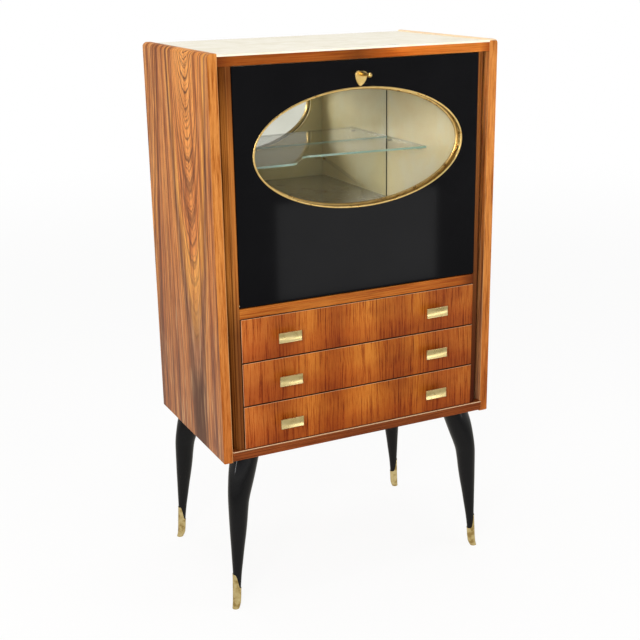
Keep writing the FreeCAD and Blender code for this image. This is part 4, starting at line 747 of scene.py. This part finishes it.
def smoothThrough(knots, values, at):
    # Catmull-Rom curve: on each stretch the cubic that meets both knots with the slope of their neighbours
    knots, values, at = (np.asarray(v, float) for v in (knots, values, at))
    slopes = np.gradient(values, knots)
    i = np.clip(np.searchsorted(knots, at, side="right") - 1, 0, len(knots) - 2)
    gap = knots[i + 1] - knots[i]
    t = (at - knots[i]) / gap
    return ((2 * t ** 3 - 3 * t ** 2 + 1) * values[i] + (t ** 3 - 2 * t ** 2 + t) * gap * slopes[i]
            + (3 * t ** 2 - 2 * t ** 3) * values[i + 1] + (t ** 3 - t ** 2) * gap * slopes[i + 1])


# legs: circles on a centre line that leans outward, 30 degrees off sideways; all in mm and degrees, and
# leans and girths are shares of the greatest ones at shares of the height
legShape = {
    "height": 420, "foot": 3.2, "lean": 61.5, "turn": 30, "girth": 36.6,
    "heights": [0, .012, .029, .057, .125, .233, .319, .405, .488, .571, .655, .714, .767, .821, .876,
                .936, 1],
    "leans": [.047, .013, -.025, -.051, -.085, -.150, -.201, -.252, -.305, -.353, -.393, -.434, -.511, -.611,
              -.715, -.842, -1],
    "girths": [.218, .238, .260, .270, .280, .325, .405, .485, .573, .645, .702, .751, .818, .887, .944,
               .981, 1],
    "around": 64, "along": 140,
    # sideways sign, depth sign, foot x and y
    "corners": [(-1, -1, -366, -191.812), (1, -1, 366, -191.812), (-1, 1, -361, 250.188),
                (1, 1, 361, 250.188)],
}


def legSurface(shape, corner, heights, growth, angles):
    # at height h and angle a from the side: the centre is the foot plus lean(h) outward, and the point
    # stands girth(h) + growth away from it
    share = heights / shape["height"]
    lean = smoothThrough(shape["heights"], shape["leans"], share) * shape["lean"]
    girth = smoothThrough(shape["heights"], shape["girths"], share) * shape["girth"] + growth
    turn = math.radians(shape["turn"])
    outward = np.array([corner[0] * math.cos(turn), corner[1] * math.sin(turn), 0])
    foot = np.array([corner[2], corner[3], 0])
    centre = foot + lean[..., None] * outward + heights[..., None] * np.array([0, 0, 1])
    sideways, backwards = np.array([corner[0], 0, 0]), np.array([0, 1, 0])
    ray = np.cos(angles)[..., None] * sideways + np.sin(angles)[..., None] * backwards
    return centre + girth[..., None] * ray


def addLegs(shape):
    heights, angles = np.meshgrid(np.linspace(shape["foot"], shape["height"], shape["along"]),
                                  np.linspace(0, 2 * np.pi, shape["around"], endpoint=False), indexing="ij")
    grids = [closeEnds(legSurface(shape, corner, heights, 0, angles)) for corner in shape["corners"]]
    surfacePiece("sabreLegs", grids, legLacquer, "carcass", ["legs"])


# shoes: a thin cup round the foot; its edge rises from low on the inside to a tongue that faces the side,
# by how far sideways the skin reaches from the foot's middle
shoeShape = {
    "wall": 1.2, "sole": 0.0, "cupDepth": 12, "around": 128, "rows": 30,
    "edgeReach": [-36, -15, -11.3, -7.2, -3.9, -0.6, 1.2, 3, 14],
    "edgeHeight": [55, 55.1, 56.4, 61.4, 76.7, 91.6, 94.8, 95.9, 96],
}


def addShoes(shape, leg):
    angles = np.linspace(0, 2 * np.pi, shape["around"], endpoint=False)
    grids = []
    for corner in leg["corners"]:
        # found by going to the skin at the height so far and reading the edge there, again and again
        edge = np.full(len(angles), 75.0)
        for _ in range(12):
            skin = legSurface(leg, corner, edge, shape["wall"], angles)
            reach = np.clip(corner[0] * (skin[:, 0] - corner[2]), shape["edgeReach"][0],
                            shape["edgeReach"][-1])
            edge = (edge + smoothThrough(shape["edgeReach"], shape["edgeHeight"], reach)) / 2
        share = np.linspace(0, 1, shape["rows"])[:, None]
        heights = shape["sole"] + share ** 1.2 * (edge - shape["sole"])[None, :]
        turn = np.broadcast_to(angles, heights.shape)
        outside = legSurface(leg, corner, heights, shape["wall"], turn)
        # the rim rolls over to the leg, and the cup's inner wall goes down along it
        rim = legSurface(leg, corner, heights[-1:] + 0.35, shape["wall"] * 0.55, turn[:1])
        inside = legSurface(leg, corner, heights[-1:] - 0.1, 0.02, turn[:1])
        low = legSurface(leg, corner, heights[-1:] - shape["cupDepth"], 0.02, turn[:1])
        grids.append(closeEnds(np.concatenate([outside, rim, inside, low])))
    surfacePiece("brassShoes", grids, shoeBrass, "carcass", ["leg_shoes"])


addLegs(legShape)
addShoes(shoeShape, legShape)

# window ring: one rounded profile carried round the oval
ringShape = {
    "halfWidth": 283, "halfHeight": 141.5, "z": 1178.6, "doorFront": -212.812, "paneFront": -193.812,
    "clear": 0.25, "flange": 5, "flangeDepth": 2, "wall": 2, "lip": 4, "around": 240,
}


def addWindowRing(shape):
    # at angle a and profile point (g, y): ((halfWidth + g) cos a, y, z + (halfHeight + g) sin a);
    # at the back the profile turns in to a quarter-round lip against the pane
    front, back = shape["doorFront"], shape["paneFront"] - shape["clear"]
    nose = front - shape["flangeDepth"]
    turn = np.linspace(0, np.pi / 2, 7)
    lip = np.column_stack([-shape["lip"] * np.cos(turn), back - shape["lip"] * np.sin(turn)])
    rim = np.array([(0, front), (0, nose + 1.1), (0.3, nose + 0.45), (0.9, nose + 0.1), (1.8, nose),
                    (3.2, nose), (4.1, nose + 0.15), (4.75, nose + 0.6), (shape["flange"], nose + 1.2),
                    (shape["flange"], front), (shape["wall"], front), (shape["wall"], back)])
    profile = np.concatenate([lip, rim, lip[:1]])
    angle = np.linspace(0, 2 * np.pi, shape["around"], endpoint=False)
    growth, depth = profile[:, :1], profile[:, 1:]
    grid = np.stack(np.broadcast_arrays((shape["halfWidth"] + growth) * np.cos(angle), depth,
                                        shape["z"] + (shape["halfHeight"] + growth) * np.sin(angle)), axis=-1)
    surfacePiece("windowRing", [grid], ringBrass, "door", ["window_ring"])


# inner bead: hides the edge of the door's inner skin round the pane; the mirror shows it
beadShape = {"halfWidth": 288, "halfHeight": 146.5, "z": 1178.6, "depth": -187.0, "radius": 3.0,
             "around": 240, "girth": 14}


def addInnerBead(shape):
    # a thin round bar bent to the oval: at angle a along it and b about its own centre line
    # ((halfWidth + radius cos b) cos a, depth + radius sin b, z + (halfHeight + radius cos b) sin a)
    angle = np.linspace(0, 2 * np.pi, shape["around"], endpoint=False)[None, :]
    about = np.linspace(0, 2 * np.pi, shape["girth"])[:, None]
    reach = shape["radius"] * np.cos(about)
    grid = np.stack(np.broadcast_arrays((shape["halfWidth"] + reach) * np.cos(angle),
                                        shape["depth"] + shape["radius"] * np.sin(about),
                                        shape["z"] + (shape["halfHeight"] + reach) * np.sin(angle)), axis=-1)
    surfacePiece("innerWindowBead", [grid], beadBrass, "door", [])


addWindowRing(ringShape)
addInnerBead(beadShape)

# key: turned about its own axis; a short cone runs into a ball
keyShape = {
    "z": 1355.0, "doorFront": -212.812, "around": 40,
    "reach": [-19, -19, 0, 2.6, 2.6, 4.0, 10, 20, 30, 36.0, 37.6, 39.4, 42, 44.6, 46.4, 47.6, 48],
    "radius": [0, 2.5, 2.5, 2.5, 5.6, 6.0, 5.3, 4.5, 3.9, 3.6, 4.6, 5.4, 5.9, 5.4, 4.1, 2.2, 0],
}


def addKey(shape):
    # at reach r in front of the door and angle a: (radius(r) cos a, doorFront - r, z + radius(r) sin a)
    angle = np.linspace(0, 2 * np.pi, shape["around"], endpoint=False)
    reach, radius = np.array(shape["reach"])[:, None], np.array(shape["radius"])[:, None]
    grid = np.stack(np.broadcast_arrays(radius * np.cos(angle), shape["doorFront"] - reach,
                                        shape["z"] + radius * np.sin(angle)), axis=-1)
    surfacePiece("turnedKey", [grid], shieldBrass, "key", ["key"])


addKey(keyShape)

# pulls: a dished plate with soft rims, on a neck
pullShape = {
    "width": 62, "height": 26, "thickness": 3.5, "dish": 1.6, "rim": 1.2, "soft": 0.7, "x": 211,
    "face": -234.812, "doorFront": -212.812, "neckWidth": 34, "neckHeight": 7, "neckSunk": 0.6,
}


def addPulls(count, shape):
    # the plate's outline in (y, z) is its dish, rounded rims and flat back; it is carried along x and drawn
    # in by the softness at both ends
    low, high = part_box(f"drawer_{count}_front")
    z = (low.z + high.z) / 2 / mm
    half, soft, front = shape["height"] / 2, shape["soft"], shape["face"]
    back = front + shape["thickness"]
    inner = half - shape["rim"]
    across = np.linspace(-inner, inner, 17)
    dish = np.column_stack([front + shape["dish"] * (1 - (across / inner) ** 2), across])
    turn = np.linspace(0, np.pi / 2, 5)
    topFront = np.column_stack([front + soft * (1 - np.cos(turn)), half - soft + soft * np.sin(turn)])
    topBack = np.column_stack([back - soft * (1 - np.sin(turn)), half - soft + soft * np.cos(turn)])
    lower = np.concatenate([topFront, topBack])[::-1] * [1, -1]
    outline = np.concatenate([dish, topFront, topBack, lower])
    away = np.sign(outline - outline.mean(0))
    turn = np.linspace(0, np.pi / 2, 6)
    inset = soft * (1 - np.sin(turn))
    end = shape["width"] / 2 - soft * (1 - np.cos(turn))
    stations, insets = np.concatenate([-end, end[::-1]]), np.concatenate([inset, inset[::-1]])
    rows = outline - insets[:, None, None] * away + [0, z]
    halves = np.array([(-1, -1), (1, -1), (1, 1), (-1, 1)]) / 2
    square = halves * [shape["neckWidth"], shape["neckHeight"]]
    neckEnds = np.array([[back - shape["neckSunk"]], [shape["doorFront"]]])
    grids = []
    for side in (-1, 1):
        middle = side * shape["x"]
        plate = np.stack(np.broadcast_arrays(middle + stations[:, None], rows[..., 0], rows[..., 1]), axis=-1)
        neck = np.stack(np.broadcast_arrays(middle + square[:, 0], neckEnds, z + square[:, 1]), axis=-1)
        grids += [closeEnds(plate), closeEnds(neck)]
    surfacePiece(f"drawer{count}Pulls", grids, pullBrass, f"drawer_{count}",
                 [f"drawer_{count}_pulls"])


for count in (1, 2, 3):
    addPulls(count, pullShape)
print("legs, shoes, ring, key and pulls made")
